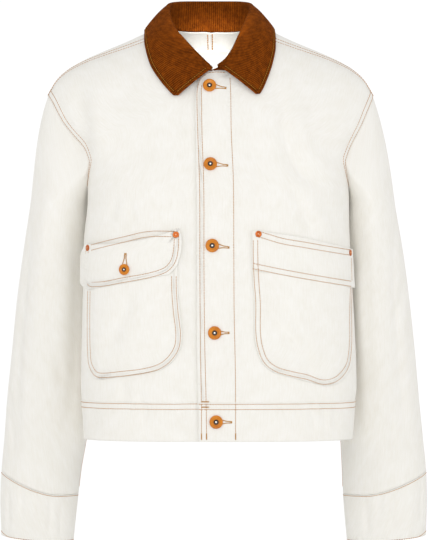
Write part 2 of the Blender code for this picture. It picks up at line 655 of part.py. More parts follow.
def make_jacket():
    clear_scene()
    denim = material("off-white cotton twill", (0.83, 0.81, 0.76), 0.85)
    corduroy = material("brown corduroy", (0.18, 0.045, 0.006), 0.9)
    horn = material("amber resin", (0.55, 0.24, 0.04), 0.35)
    copper = material("copper", (0.6, 0.25, 0.12), 0.35, 1.0)
    tape = material("woven tape", (0.87, 0.85, 0.8), 0.8)
    make_body(denim)
    make_hem(denim)
    make_collar(corduroy)
    make_patch("pocket_right", POCKET_RIGHT, POCKET_LIFT, 13, 8, TOP_DIP_FLAP, 0.982, denim)
    make_patch("pocket_flap_right", FLAP_RIGHT, FLAP_LIFT, 13, 6, TOP_DIP_FLAP, 0.997, denim)
    make_patch("pocket_left", POCKET_LEFT, POCKET_LIFT, 13, 9, TOP_DIP_BAND, 0.982, denim)
    make_patch("pocket_band_left", BAND_LEFT, BAND_LIFT, 13, 4, TOP_DIP_BAND, 0.995, denim)
    for i, (x, z) in enumerate(zip(BUTTONS["x"], BUTTONS["z"]), 1):
        make_turned(f"button_front_{i}", x, z, BUTTON_GAP, BUTTON_RADIUS, BUTTON_PROFILE, 14, horn)
    on_flap = FLAP_LIFT + POCKET + BUTTON_GAP
    on_band = BAND_LIFT + POCKET + BUTTON_GAP
    make_turned("button_flap", *FLAP_BUTTON, on_flap, FLAP_BUTTON_RADIUS, BUTTON_PROFILE, 12, horn)
    for i, (x, z) in enumerate(zip(RIVETS["x"], RIVETS["z"]), 1):
        out = on_flap if x < 0 else on_band
        make_turned(f"rivet_{i}", x, z, out, RIVET_RADIUS, RIVET_PROFILE, 10, copper)
    make_label(tape)


make_jacket()
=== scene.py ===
import math

import bpy
import numpy as np
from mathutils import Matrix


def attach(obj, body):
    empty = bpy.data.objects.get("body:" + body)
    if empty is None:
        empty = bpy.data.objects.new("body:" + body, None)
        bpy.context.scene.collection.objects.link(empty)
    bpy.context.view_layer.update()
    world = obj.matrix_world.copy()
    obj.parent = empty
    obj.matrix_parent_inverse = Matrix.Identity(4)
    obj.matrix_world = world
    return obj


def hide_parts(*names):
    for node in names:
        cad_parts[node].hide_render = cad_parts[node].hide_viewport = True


# An off-white denim work jacket with a brown corduroy collar, filled out as if worn and held at its
# shoulders. Sizes are in millimetres: x to the wearer's left, y to the back and z up, from the middle of
# the neck opening. Sizes said to be seen are those of the front view, taken VIEW_DISTANCE in front.
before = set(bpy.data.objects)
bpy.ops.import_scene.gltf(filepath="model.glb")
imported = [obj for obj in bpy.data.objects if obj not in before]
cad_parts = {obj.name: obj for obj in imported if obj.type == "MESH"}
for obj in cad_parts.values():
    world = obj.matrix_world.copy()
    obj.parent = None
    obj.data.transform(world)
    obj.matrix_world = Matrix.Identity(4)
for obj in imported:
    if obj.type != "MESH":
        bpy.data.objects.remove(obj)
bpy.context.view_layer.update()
MM = 0.001

# ---- Fronts and backs ----------------------------------------------------------------------------------
# Four panels of heavy off-white cotton twill meet at the shoulders, the sides and the middle of the back.
# The wearer's left front ends in a doubled placket that laps over the right front. All are felled and sewn
# with two rows of tan thread.
DENIM = 1.5
SEAM_GAP = 1.0
VIEW_DISTANCE = 4000
VIEW_X = 5
EYE_HEIGHT = -322
HEM = -556
HEM_SEAM = -507
ARMPIT = -213
ARCH_BASE = -165
SIDE_TURN = 105
FRONT_BOX = 0.25
BACK_NARROW = 0.14
RIDGE_ROUND = 12
# Level is the height, and from ARCH_BASE up a quarter turn over the shoulder, 0 at the ridge. Turn is the
# angle round the body in degrees: 0 at the front centre, 180 at the back, negative on the wearer's right.
BODY = {
    "level": (-556, -507, -484, -364, -280, -224, -190, -165, -120, -60, 0),
    "centre": (11, 11, 11.6, 10.4, 9, 11, 10, 8.5, 3, 1, 0),
    "half_width": (186, 189.5, 191.5, 188, 184.7, 181.6, 183.5, 192, 222, 241, 246),
    "middle": (-28, -28, -28, -28, -28, -27, -20, -13, -4, 0, 0),
    "front": (82, 85, 87, 90, 92, 94, 96, 97, 97, 97, 97),
    "back": (128, 131, 133, 136, 137, 136, 133, 130, 126, 126, 128),
}
SHOULDER = {
    "from_neck": (0, 70, 115, 168, 180, 201, 215, 223, 231, 250),
    "height": (43, 19.2, -1.6, -24, -29.8, -42.5, -56, -69, -84, -130),
}
ARMHOLE_FRONT = {
    "turn": (105, 96, 86, 77, 70, 70.2, 69.8, 68.4, 68),
    "level": (-213, -212, -204, -188, -168, -145, -115, -60, 0),
}
ARMHOLE_BACK = {
    "turn": (105, 110, 114, 117, 119, 119, 118, 116, 112),
    "level": (-213, -211, -203, -188, -165, -140, -115, -60, 0),
}
NECKLINE_FRONT = {
    "turn": (0, 8, 12.5, 15.5, 16.6),
    "level": (-101, -97, -84, -56, 0),
}
NECKLINE_BACK = {
    "turn": (163.4, 165.5, 169, 174, 180),
    "level": (0, -24, -36, -45.5, -51),
}
PLACKET_EDGE = {
    "x": (-5, -13.5, -18.6, -20.8, -19.8, -18.2, -18.2, -16.2, -15.8),
    "level": (-101, -106, -115, -128, -150, -310, -418, -507, -556),
}
UNDER_EDGE = {"x": (24, 24, 26), "level": (-104, -165, -556)}
LAP_DROP = 3.3
LAP_FROM = -48
LAP_WIDTH = 18
# Creases of the front, as seen: how far out they stand, half their width, and the points they run through.
FRONT_CREASES = (
    (-5.0, 11, ((96, -46), (101, -84), (108, -140), (122, -179), (150, -200), (180, -213))),
    (3.7, 13, ((118, -70), (126, -120), (140, -160), (184, -188))),
    (-4.0, 9, ((112, -202), (136, -252), (155, -283))),
    (2.8, 10, ((132, -212), (152, -248), (172, -275))),
    (-4.3, 11, ((-187, -46), (-183, -90), (-177, -130), (-173, -190))),
    (3.1, 13, ((-160, -40), (-158, -110), (-158, -180))),
    (-5.0, 30, ((-155, -38), (-113, -112), (-68, -182))),
    (-2.2, 6, ((-128, -214), (-144, -262))),
    (-1.9, 5, ((-112, -222), (-108, -262))),
    (-4.3, 14, ((-102, -335), (-125, -390), (-152, -452))),
    (-4.3, 12, ((76, -366), (110, -410), (126, -430), (141, -462), (166, -512))),
    (2.8, 12, ((100, -370), (132, -408), (152, -450))),
    (-2.5, 7, ((-124, -466), (-118, -512))),
    (-1.9, 5, ((-100, -484), (-92, -530), (-90, -556))),
    (-2.2, 9, ((-170, -500), (-160, -556))),
    (-2.3, 5, ((139, -492), (147, -556))),
    (-2.0, 4.5, ((157, -500), (162, -556))),
    (-1.6, 4, ((172, -506), (176, -556))),
    (-2.5, 10, ((70, -108), (62, -170), (72, -240))),
)
# And of the back, in x and height.
BACK_CREASES = (
    (-4.7, 13, ((-150, -60), (-122, -140), (-96, -214))),
    (-4.0, 11, ((152, -84), (120, -160), (98, -226))),
    (3.1, 16, ((-70, -90), (-40, -170), (-30, -250))),
    (-3.4, 10, ((-96, -250), (-130, -300), (-146, -362))),
    (-3.7, 12, ((-118, -350), (-62, -410), (-34, -478))),
    (3.1, 14, ((60, -290), (96, -380), (120, -460))),
    (-2.8, 8, ((22, -240), (52, -330), (64, -400))),
    (-2.5, 6, ((88, -470), (96, -520), (95, -556))),
    (-2.2, 5, ((-70, -480), (-64, -556))),
)
# Rows of points on a panel: below the armpit, then up to the shoulder in three stretches.
SIDE_ROWS = 84
EDGE_ROWS = 28
CORNER_ROWS = 22
NECK_FRONT_ROWS = 40
NECK_BACK_ROWS = 30
ARM_ROWS = EDGE_ROWS + CORNER_ROWS + NECK_FRONT_ROWS
PANEL_COLUMNS = 76


def along(table, column, key, at):
    """A column of a table read at any value of its key column, along a smooth cubic through the rows."""
    xs, ys = np.array(table[key], float), np.array(table[column], float)
    if xs[0] > xs[-1]:
        xs, ys = xs[::-1], ys[::-1]
    steps = np.diff(ys) / np.diff(xs)
    slopes = np.concatenate([steps[:1], (steps[1:] + steps[:-1]) / 2, steps[-1:]])
    turning = np.concatenate([[False], steps[1:] * steps[:-1] <= 0, [False]])
    slopes[turning] = 0
    at = np.clip(at, xs[0], xs[-1])
    i = np.clip(np.searchsorted(xs, at) - 1, 0, len(xs) - 2)
    width = xs[i + 1] - xs[i]
    t = (at - xs[i]) / width
    start, end = slopes[i] * width, slopes[i + 1] * width
    rise = ys[i + 1] - ys[i]
    return ys[i] + t * (start + t * (3 * rise - 2 * start - end + t * (start + end - 2 * rise)))


def rows_of(table, at, columns=("turn", "level")):
    """The named columns at these rows of the table, or at this many even steps along all of them."""
    numbered = dict(table, row=range(len(table[columns[0]])))
    if np.ndim(at) == 0:
        at = np.linspace(0, numbered["row"][-1], at)
    return np.stack([along(numbered, name, "row", at) for name in columns], axis=-1)


def smooth(t):
    """0 to 1 with level ends: three t squared less two t cubed."""
    t = np.clip(t, 0, 1)
    return t * t * (3 - 2 * t)


def unit(v):
    return v / np.maximum(np.linalg.norm(v, axis=-1, keepdims=True), 1e-9)


def through(places, spacing):
    """Points this far apart on a smooth curve through these places, each a row of numbers."""
    places = np.array(places, float)
    run = run_along(places, 0)
    table = {str(i): places[:, i] for i in range(places.shape[1])} | {"run": run}
    at = np.linspace(0, run[-1], max(3, int(run[-1] / spacing) + 1))
    return np.stack([along(table, str(i), "run", at) for i in range(places.shape[1])], axis=-1)


def creased(u, v, creases):
    """The height of soft creases: a bell across each crease's curve, fading over the last third to its
    ends."""
    u, v = np.broadcast_arrays(u, v)
    total = np.zeros(u.shape)
    for height, width, places in creases:
        curve = through(places, 12)
        best = np.full(u.shape, 1e9)
        where = np.zeros(u.shape)
        for i, (start, step) in enumerate(zip(curve[:-1], np.diff(curve, axis=0))):
            from_u, from_v = u - start[0], v - start[1]
            t = np.clip((from_u * step[0] + from_v * step[1]) / (step @ step), 0, 1)
            away = (from_u - t * step[0]) ** 2 + (from_v - t * step[1]) ** 2
            where = np.where(away < best, (i + t) / (len(curve) - 1), where)
            best = np.minimum(best, away)
        ends = smooth(np.minimum(where, 1 - where) / 0.33)
        total = total + height * ends * np.exp(-best / width**2)
    return total


def ridge(x):
    """Height of the shoulder line at this x, rounded over the middle, inside the neck opening."""
    return along(SHOULDER, "height", "from_neck", np.hypot(x, RIDGE_ROUND))


def body_form(turn, level):
    """The body without its creases. Its sections are ovals, boxy in front, round and narrower behind."""
    sine, cosine = np.sin(np.radians(turn)), np.cos(np.radians(turn))
    column = {name: along(BODY, name, "level", level) for name in list(BODY)[1:]}
    lift = np.radians(90) * np.clip(1 - level / ARCH_BASE, 0, 1)
    narrow = 1 - BACK_NARROW * np.maximum(-cosine, 0) ** 1.5 * np.cos(lift) ** 2
    x = column["centre"] + column["half_width"] * sine * narrow
    z = np.where(level < ARCH_BASE, level, ARCH_BASE + (ridge(x) - ARCH_BASE) * np.sin(lift))
    front = column["front"] * cosine * (1 + FRONT_BOX * sine**2)
    reach = np.where(cosine > 0, front, column["back"] * cosine)
    return np.stack([x, column["middle"] - reach * np.cos(lift), z], axis=-1)


def outward(surface, turn, level):
    """The unit normal of a surface of turn and level, from small steps along both."""
    across = surface(turn + 0.2, level) - surface(turn - 0.2, level)
    up = surface(turn, np.minimum(level + 0.5, 0)) - surface(turn, np.minimum(level + 0.5, 0) - 1)
    return unit(np.cross(across, up))


def as_seen(points):
    """Where points show in the front view: true sizes spread from the view's centre by their nearness."""
    nearer = 1 + points[..., 1] / VIEW_DISTANCE
    return VIEW_X + (points[..., 0] - VIEW_X) / nearer, EYE_HEIGHT + (points[..., 2] - EYE_HEIGHT) / nearer


def unseen(seen_x, seen_z, y):
    """True places of what is seen at these sizes at a depth of y."""
    nearer = 1 + y / VIEW_DISTANCE
    return np.stack([VIEW_X + (seen_x - VIEW_X) * nearer, y, EYE_HEIGHT + (seen_z - EYE_HEIGHT) * nearer], -1)


def body(turn, level):
    """The outer face of the body: its form moved out along its normal by the creases."""
    turn, level = np.broadcast_arrays(np.asarray(turn, float), np.asarray(level, float))
    form = body_form(turn, level)
    front = smooth((104 - np.abs(turn)) / 25)
    back = smooth((np.abs(turn) - 108) / 20)
    below = smooth(-level / 25)
    height = front * creased(*as_seen(form), FRONT_CREASES)
    height = height + back * creased(form[..., 0], form[..., 2], BACK_CREASES)
    return form + outward(body_form, turn, level) * (height * below)[..., None]


def on_body(turn, level, out=0.0):
    """Points this far out from the body's cloth, and the normals there."""
    facing = outward(body, turn, level)
    return body(turn, level) + facing * out, facing


def raised(x, z):
    """Lift over the shoulder in radians, and level, of the place with this x and z."""
    lift = np.arcsin(np.clip((z - ARCH_BASE) / (ridge(x) - ARCH_BASE), 0, 1))
    return lift, np.where(z < ARCH_BASE, z, ARCH_BASE * (1 - lift / np.radians(90)))


def before_at(x, z, reach=0.9995):
    """Turn and level of the place on the front with this x and z."""
    _, level = raised(x, z)
    return np.degrees(np.arcsin(np.clip(side_of(x, level), -reach, reach))), level


def seen_at(seen_x, seen_z, reach=0.9995):
    """Turn and level of the place on the front that is seen at these sizes, found by four corrections."""
    seen_x, seen_z = np.asarray(seen_x, float), np.asarray(seen_z, float)
    depth = np.full(seen_x.shape, -90.0)
    for _ in range(4):
        place = unseen(seen_x, seen_z, depth)
        turn, level = before_at(place[..., 0], place[..., 2], reach)
        depth = body_form(turn, level)[..., 1]
    return turn, level


def side_of(x, level):
    """How far across the body x lies: -1 to 1 from its right to its left side."""
    return (x - along(BODY, "centre", "level", level)) / along(BODY, "half_width", "level", level)


def between(left, right, bottom, top):
    """A grid between four edges, which it meets exactly (a Coons patch)."""
    v = np.linspace(0, 1, len(left))[:, None, None]
    u = np.linspace(0, 1, len(bottom))[None, :, None]
    sides = (1 - u) * left[:, None] + u * right[:, None]
    ends = (1 - v) * bottom[None] + v * top[None]
    low = (1 - u) * bottom[0] + u * bottom[-1]
    high = (1 - u) * top[0] + u * top[-1]
    return sides + ends - (1 - v) * low - v * high


def even_turns(first, last, level, count):
    """Turns from first to last at one level, the same length of cloth apart."""
    turn = np.linspace(first, last, 161)
    run = run_along(body_form(turn, np.full(161, float(level))), 0)
    return np.interp(np.linspace(0, run[-1], count + 1), run, turn)


def panel_grid(side, front):
    """Turn and level over a body panel. Rows run from its centre edge, then its neckline, to the side seam,
    then the armhole; columns run from the hem seam to the shoulder seam."""
    armhole = rows_of(ARMHOLE_FRONT if front else ARMHOLE_BACK, ARM_ROWS + 1)
    levels = np.linspace(HEM_SEAM, ARMPIT, SIDE_ROWS + 1)[:-1]
    outer = np.concatenate([np.stack([np.full(SIDE_ROWS, SIDE_TURN), levels], -1), armhole])
    if front:
        edge = PLACKET_EDGE if side > 0 else UNDER_EDGE
        corner = edge["level"][3 if side > 0 else 0] - 6
        levels = np.concatenate([levels, np.linspace(ARMPIT, corner, EDGE_ROWS + 1)[:-1]])
        levels = np.concatenate([levels, np.linspace(corner, edge["level"][0], CORNER_ROWS)])
        turns = side * np.degrees(np.arcsin(side_of(along(edge, "x", "level", levels), levels)))
        neck = rows_of(NECKLINE_FRONT, NECK_FRONT_ROWS + 1)
    else:
        rows = ARM_ROWS - NECK_BACK_ROWS
        levels = np.concatenate([levels, np.linspace(ARMPIT, NECKLINE_BACK["level"][-1], rows + 1)[:-1]])
        turns = np.full(len(levels), 180.0)
        neck = rows_of(NECKLINE_BACK, NECK_BACK_ROWS + 1)[::-1]
    inner = np.concatenate([np.stack([turns, levels], -1), neck])
    ends = []
    for i, level in ((0, HEM_SEAM), (-1, 0)):
        turns = even_turns(inner[i, 0], outer[i, 0], level, PANEL_COLUMNS)
        ends.append(np.stack([turns, np.full(len(turns), float(level))], -1))
    return between(inner, outer, *ends) * (side, 1)


def lap_drop(side, points):
    """How far the wearer's right front lies in, under the left one."""
    if side > 0:
        return np.zeros(points.shape[:-1])
    return LAP_DROP * smooth((points[..., 0] - LAP_FROM) / LAP_WIDTH)


def run_along(points, axis):
    """Length of cloth from the first row or column of a grid, in millimetres."""
    points = np.moveaxis(points, axis, 0)
    steps = np.linalg.norm(np.diff(points, axis=0), axis=-1)
    run = np.concatenate([np.zeros((1, *steps.shape[1:])), np.cumsum(steps, axis=0)])
    return np.moveaxis(run, 0, axis)


def line_at(at, run, line):
    """The points of a line at these lengths along it."""
    return np.stack([np.interp(at, run, line[:, i]) for i in range(3)], -1)


def near_rows(points, rows):
    """For each point: how far along the nearest stitch row it lies, and how far from it, up to 40 mm."""
    run, off = np.zeros(len(points)), np.full(len(points), 40.0)
    for line, _ in rows:
        at = run_along(line, 0)
        square = (points**2).sum(1)[:, None] + (line**2).sum(1)[None] - 2 * points @ line.T
        nearest = square.argmin(1)
        away = np.sqrt(np.maximum(square[np.arange(len(points)), nearest], 0))
        run, off = np.where(away < off, at[nearest], run), np.minimum(away, off)
    return run, off


def quads(a, b, c, d):
    return np.stack([a, b, c, d], -1).reshape(-1, 4)


def placed(name, data, place=(0, 0, 0), turn=(0, 0, 0)):
    """An object in the scene, at a place in metres and turned by these angles."""
    made = bpy.data.objects.new(name, data)
    made.location, made.rotation_euler = place, turn
    bpy.context.scene.collection.objects.link(made)
    return made


def made_of(name, points, faces, finish, numbers=None):
    """A smooth-shaded object from points in millimetres that rides on the frame's one body. Numbers are
    stored a point each, and those called u and v become its UV map, in metres of cloth."""
    mesh = bpy.data.meshes.new(name)
    mesh.from_pydata((np.asarray(points) * MM).tolist(), [], np.asarray(faces).tolist())
    mesh.shade_smooth()
    numbers = dict(numbers or {})
    if "u" in numbers:
        corner = np.empty(len(mesh.loops), np.int32)
        mesh.loops.foreach_get("vertex_index", corner)
        uv = np.stack([numbers.pop("u"), numbers.pop("v")], -1)[corner] * MM
        mesh.uv_layers.new(name="cloth").uv.foreach_set("vector", uv.astype(np.float32).ravel())
    for key, values in numbers.items():
        mesh.attributes.new(key, "FLOAT", "POINT").data.foreach_set("value", values.astype(np.float32))
    mesh.materials.append(finish)
    made = placed(name, mesh)
    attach(made, "root")
    return made


def cloth(name, outer, normal, finish, rows=(), thick=DENIM, tube=False, rim=0.3):
    """A wall of cloth: the outer grid, the same moved in along its normals, and a rounded rim that stands
    out by rim times the thickness. The UV map follows the cloth, and stitch rows are stored for puckers."""
    inner = outer - normal * thick
    count = outer.shape[0] * outer.shape[1]
    ids = np.arange(count).reshape(outer.shape[:2])
    u, v = run_along(outer, 1), run_along(outer, 0)
    if tube:
        ids = np.concatenate([ids, ids[:, :1]], axis=1)
    else:
        u = u - u[:, u.shape[1] // 2][:, None]
    faces = [quads(ids[:-1, :-1], ids[:-1, 1:], ids[1:, 1:], ids[1:, :-1])]
    faces.append(faces[0][:, ::-1] + count)
    edges = [ids[0], ids[-1, ::-1]]
    inside = [ids[1], ids[-2, ::-1]]
    if not tube:
        edges = [np.concatenate([ids[0], ids[1:, -1], ids[-1, -2::-1], ids[-2:0:-1, 0], ids[0, :1]])]
        inside = [np.concatenate([ids[1], ids[1:, -2], ids[-2, -2::-1], ids[-2:0:-1, 1], ids[1, :1]])]
    flat_outer, flat_inner = outer.reshape(-1, 3), inner.reshape(-1, 3)
    points, us, vs = [flat_outer, flat_inner], [u.ravel()] * 2, [v.ravel()] * 2
    start = 2 * count
    for edge, within in zip(edges, inside):
        around = edge[:-1]
        push = unit(flat_outer[around] - flat_outer[within[:-1]]) * thick * rim
        points.append((flat_outer[around] + flat_inner[around]) / 2 + push)
        us.append(u.ravel()[around])
        vs.append(v.ravel()[around])
        middle = start + np.arange(len(edge)) % (len(edge) - 1)
        faces.append(quads(edge[1:], edge[:-1], middle[:-1], middle[1:]))
        faces.append(quads(middle[1:], middle[:-1], edge[:-1] + count, edge[1:] + count))
        start += len(around)
    points = np.concatenate(points)
    run, off = near_rows(points, rows)
    faces = np.concatenate(faces)
    if np.sum(normal * np.cross(outer[1:2, 1:2] - outer[:1, :1], outer[1:2, :1] - outer[:1, 1:2])) > 0:
        faces = faces[:, ::-1]
    numbers = {"u": np.concatenate(us), "v": np.concatenate(vs), "row_run": run, "row_off": off}
    return made_of(name, points, faces, finish, numbers)


def drawn_in(points, axis, first=True, last=True):
    """The first or last row or column of a grid moved in by half a seam's gap."""
    points = np.moveaxis(points, axis, 0).copy()
    if first:
        points[0] += unit(points[1] - points[0]) * SEAM_GAP / 2
    if last:
        points[-1] += unit(points[-2] - points[-1]) * SEAM_GAP / 2
    return np.moveaxis(points, 0, axis)


def inside_edge(points, normal, away):
    """A line on a grid at a length of cloth from its last column, one number or one for each row."""
    run = run_along(points[:, ::-1], 1)
    away = np.broadcast_to(away, len(run))
    line, facing = (
        np.array([line_at(d, r, g[::-1]) for d, r, g in zip(away, run, grid)]) for grid in (points, normal)
    )
    facing = unit(facing)
    return line + facing * ON_CLOTH, facing


def node(tree, kind, inputs=None, **settings):
    """Adds a shader node. An input is a value, or another node's output to link."""
    made = tree.nodes.new("ShaderNode" + kind)
    for key, value in settings.items():
        setattr(made, key, value)
    for key, value in (inputs or {}).items():
        if isinstance(value, bpy.types.NodeSocket):
            tree.links.new(value, made.inputs[key])
        else:
            made.inputs[key].default_value = value
    return made.outputs[0] if kind != "BsdfPrincipled" else made


def maths(tree, operation, *values):
    return node(tree, "Math", dict(enumerate(values)), operation=operation)


def noise(tree, place, scale, detail, roughness=0.5):
    inputs = {"Vector": place, "Scale": scale, "Detail": detail, "Roughness": roughness}
    return node(tree, "TexNoise", inputs)


def colour(code):
    """An sRGB hex value as linear red, green, blue and alpha."""
    parts = [int(code[i : i + 2], 16) / 255 for i in (0, 2, 4)]
    return (*(p / 12.92 if p <= 0.04045 else ((p + 0.055) / 1.055) ** 2.4 for p in parts), 1.0)


def finish_of(name, roughness, **sockets):
    """A new material: its node tree and its Principled shader, with constant sockets set."""
    made = bpy.data.materials.new(name)
    made.use_nodes = True
    shader = made.node_tree.nodes["Principled BSDF"]
    shader.inputs["Roughness"].default_value = roughness
    for key, value in sockets.items():
        shader.inputs[key.replace("_", " ")].default_value = value
    return made, made.node_tree, shader


def plain(name, code, roughness, **sockets):
    """A new material of one colour."""
    made, _, shader = finish_of(name, roughness, **sockets)
    shader.inputs["Base Color"].default_value = colour(code)
    return made


def stored(tree, name):
    """A number that is stored at each point of the mesh."""
    made = tree.nodes.new("ShaderNodeAttribute")
    made.attribute_name = name
    return made.outputs["Fac"]


def ramp(tree, value, low, high, start=0.0, end=1.0, kind="LINEAR"):
    """A value from low to high turned into one from start to end, and held at both."""
    inputs = {"Value": value, "From Min": low, "From Max": high, "To Min": start, "To Max": end}
    return node(tree, "MapRange", inputs, interpolation_type=kind)


def blend(tree, factor, first, second):
    """Two colours mixed by a factor of 0 to 1."""
    made = tree.nodes.new("ShaderNodeMix")
    made.data_type = "RGBA"
    tree.links.new(factor, made.inputs["Factor"])
    made.inputs["A"].default_value = colour(first)
    made.inputs["B"].default_value = colour(second)
    return made.outputs["Result"]


def waves(tree, uv, across, angle, period):
    """0 to 1 in straight lines over the cloth, period millimetres apart, at an angle to the warp."""
    laid = node(tree, "VectorRotate", {"Vector": uv, "Angle": math.radians(angle)}, rotation_type="Z_AXIS")
    parts = tree.nodes.new("ShaderNodeSeparateXYZ")
    tree.links.new(laid, parts.inputs[0])
    pace = 2 * math.pi / (period * MM)
    turns = maths(tree, "MULTIPLY", parts.outputs[across], pace)
    sine = maths(tree, "SINE", turns)
    return ramp(tree, sine, -1.0, 1.0)


def denim_finish(name, light, dark):
    """Bull denim, a 3/1 cotton twill woven undyed and washed once: matt, slightly slubby along the warp,
    faintly mottled, and puckered beside each stitch row where the thread pulls. The twill's real ribs are
    0.7 mm apart, too fine for the view, so they are drawn 1.4 mm apart and low."""
    matt = {"Specular_IOR_Level": 0.25, "Sheen_Weight": 0.15, "Sheen_Roughness": 0.5}
    made, tree, shader = finish_of(name, 0.92, **matt)
    uv = node(tree, "UVMap", uv_map="cloth")
    ribs = waves(tree, uv, 0, 63, 1.4)
    slub_at = node(tree, "VectorMath", {0: uv, 1: (520, 60, 1)}, operation="MULTIPLY")
    slub = noise(tree, slub_at, 1.0, 2.0)
    mottle = noise(tree, uv, 34.0, 4.0, 0.65)
    both = maths(tree, "ADD", slub, mottle)
    tint = ramp(tree, both, 0.7, 1.3)
    tree.links.new(blend(tree, tint, dark, light), shader.inputs["Base Color"])
    run, off = stored(tree, "row_run"), stored(tree, "row_off")
    run_at = maths(tree, "MULTIPLY", run, 0.21)
    off_at = maths(tree, "MULTIPLY", off, 0.035)
    place = node(tree, "CombineXYZ", {"X": run_at, "Y": off_at})
    pucker = noise(tree, place, 1.0, 1.5, 0.6)
    near = ramp(tree, off, 0.5, 11.0, 1.0, 0.0, "SMOOTHSTEP")
    pucker = maths(tree, "MULTIPLY", pucker, near)
    groove = ramp(tree, off, 0.3, 2.4, kind="SMOOTHSTEP")
    height = maths(tree, "MULTIPLY", pucker, 1.6)
    for part, much in ((groove, 0.3), (ribs, 0.04), (slub, 0.07), (mottle, 0.5)):
        height = maths(tree, "MULTIPLY_ADD", part, much, height)
    bump = node(tree, "Bump", {"Strength": 1.0, "Distance": MM, "Height": height})
    tree.links.new(bump, shader.inputs["Normal"])
    return made


denim = denim_finish("off-white bull denim", "f7f5f0", "f1eee6")


def below(seen_x, seen_z, out):
    """Turn and level of the cloth below what is seen at these sizes while it stands out by this much."""
    x, z = np.array(seen_x, float), np.array(seen_z, float)
    for _ in range(5):
        turn, level = seen_at(x, z, 0.9999)
        found_x, found_z = as_seen(body_form(turn, level) + outward(body_form, turn, level) * out)
        x, z = x + 0.8 * (seen_x - found_x), z + 0.8 * (seen_z - found_z)
    return turn, level


def laid_line(places, out, inside=0.0):
    """A line through seen places of the front, moved inside along the cloth to its left as it is walked,
    then out from the cloth: points and normals."""
    line = through(places, 3)
    turn, level = below(line[:, 0], line[:, 1], out)
    if inside:
        across = body_form(turn + 0.5, level) - body_form(turn - 0.5, level)
        up = body_form(turn, level + 0.5) - body_form(turn, level - 0.5)
        ahead = unit(np.gradient(body_form(turn, level), axis=0))
        aside = np.cross(unit(np.cross(across, up)), ahead) * inside
        turn = turn + np.sum(aside * across, -1) / np.sum(across * across, -1)
        level = level + np.sum(aside * up, -1) / np.sum(up * up, -1)
    return on_body(turn, level, out)


fronts = {}
for side, word in ((-1, "right"), (1, "left")):
    for front, part in ((True, "front"), (False, "back")):
        grid = panel_grid(side, front)
        turn, level = grid[..., 0], grid[..., 1]
        face, facing = on_body(turn, level)
        if front:
            face = face - facing * lap_drop(side, face)[..., None]
        fronts[part, word] = face, facing

# The rows of stitching: a pair along each armhole, shoulder and side seam, a pair down the back, and three
# down the placket, which also cross the hem band. Each is points and normals.
PLACKET_OUTER = ((-5.9, -48.3), (-12.6, -52.5), (-16.9, -61.6), (-18.9, -78.4), (-17.8, -127), (-15.3, -203),
                 (-14.8, -314), (-14.1, -424), (-12.6, -514), (-12.5, -557))
PLACKET_INNER = ((-12.7, -63), (-12.5, -78.4), (-11.9, -127), (-9.4, -203), (-9.1, -314), (-8, -424),
                 (-5.9, -514), (-5.3, -557))
PLACKET_FAR = ((27.3, -53), (28.1, -66), (29.1, -127), (31.9, -190), (32.8, -314), (33.2, -381), (35, -469),
               (35.3, -557))
PLACKET_TOP = ((-5.9, -46.1), (2.1, -45.1), (10.5, -44.8), (20.3, -45.6))
ON_CLOTH = 0.15
SHOULDER_ROWS = ((37, 4), (45, 10))
SEAM_ROWS = (1.6, 8.2)
rows = {}
for (part, word), (face, facing) in fronts.items():
    lines = [inside_edge(face[SIDE_ROWS + 4 :], facing[SIDE_ROWS + 4 :], d) for d in SEAM_ROWS]
    if part == "front":
        across, facing_across = face[::-1].swapaxes(0, 1), facing[::-1].swapaxes(0, 1)
        for by_neck, by_sleeve in SHOULDER_ROWS:
            away = np.linspace(by_neck, by_sleeve, PANEL_COLUMNS + 1)
            lines.append(inside_edge(across[2:, ::-1], facing_across[2:, ::-1], away[2:]))
    else:
        for away in SEAM_ROWS:
            lines.append(inside_edge(face[:SIDE_ROWS], facing[:SIDE_ROWS], away))
        away = 5.6 if word == "right" else 2.0
        flip = face[: SIDE_ROWS + ARM_ROWS - NECK_BACK_ROWS + 1, ::-1]
        facing_flip = facing[: SIDE_ROWS + ARM_ROWS - NECK_BACK_ROWS + 1, ::-1]
        lines.append(inside_edge(flip, facing_flip, away))
    rows[part, word] = lines
for places in (PLACKET_OUTER, PLACKET_INNER, PLACKET_FAR, PLACKET_TOP):
    rows["front", "left"].append(laid_line(places, ON_CLOTH))

for (part, word), (face, facing) in fronts.items():
    drawn = drawn_in(drawn_in(face, 0), 1, part == "back", False)
    made = cloth(f"{part}_panel_{word}", drawn, facing, denim, rows[part, word])
    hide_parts(f"{part}_{word}")

# ---- Stitching of the body -----------------------------------------------------------------------------
# Heavy tan polyester-cotton topstitching thread, about 0.7 mm thick, at seven stitches an inch.
STITCH_PITCH = 3.6
STITCH_LENGTH = 3.4
THREAD = 0.8


def thread_finish(name, code):
    """Twisted thread: its plies are too fine to draw, so it is plain and nearly matt."""
    return plain(name, code, 0.7, Specular_IOR_Level=0.15)


thread = thread_finish("tan topstitching thread", "c0843a")


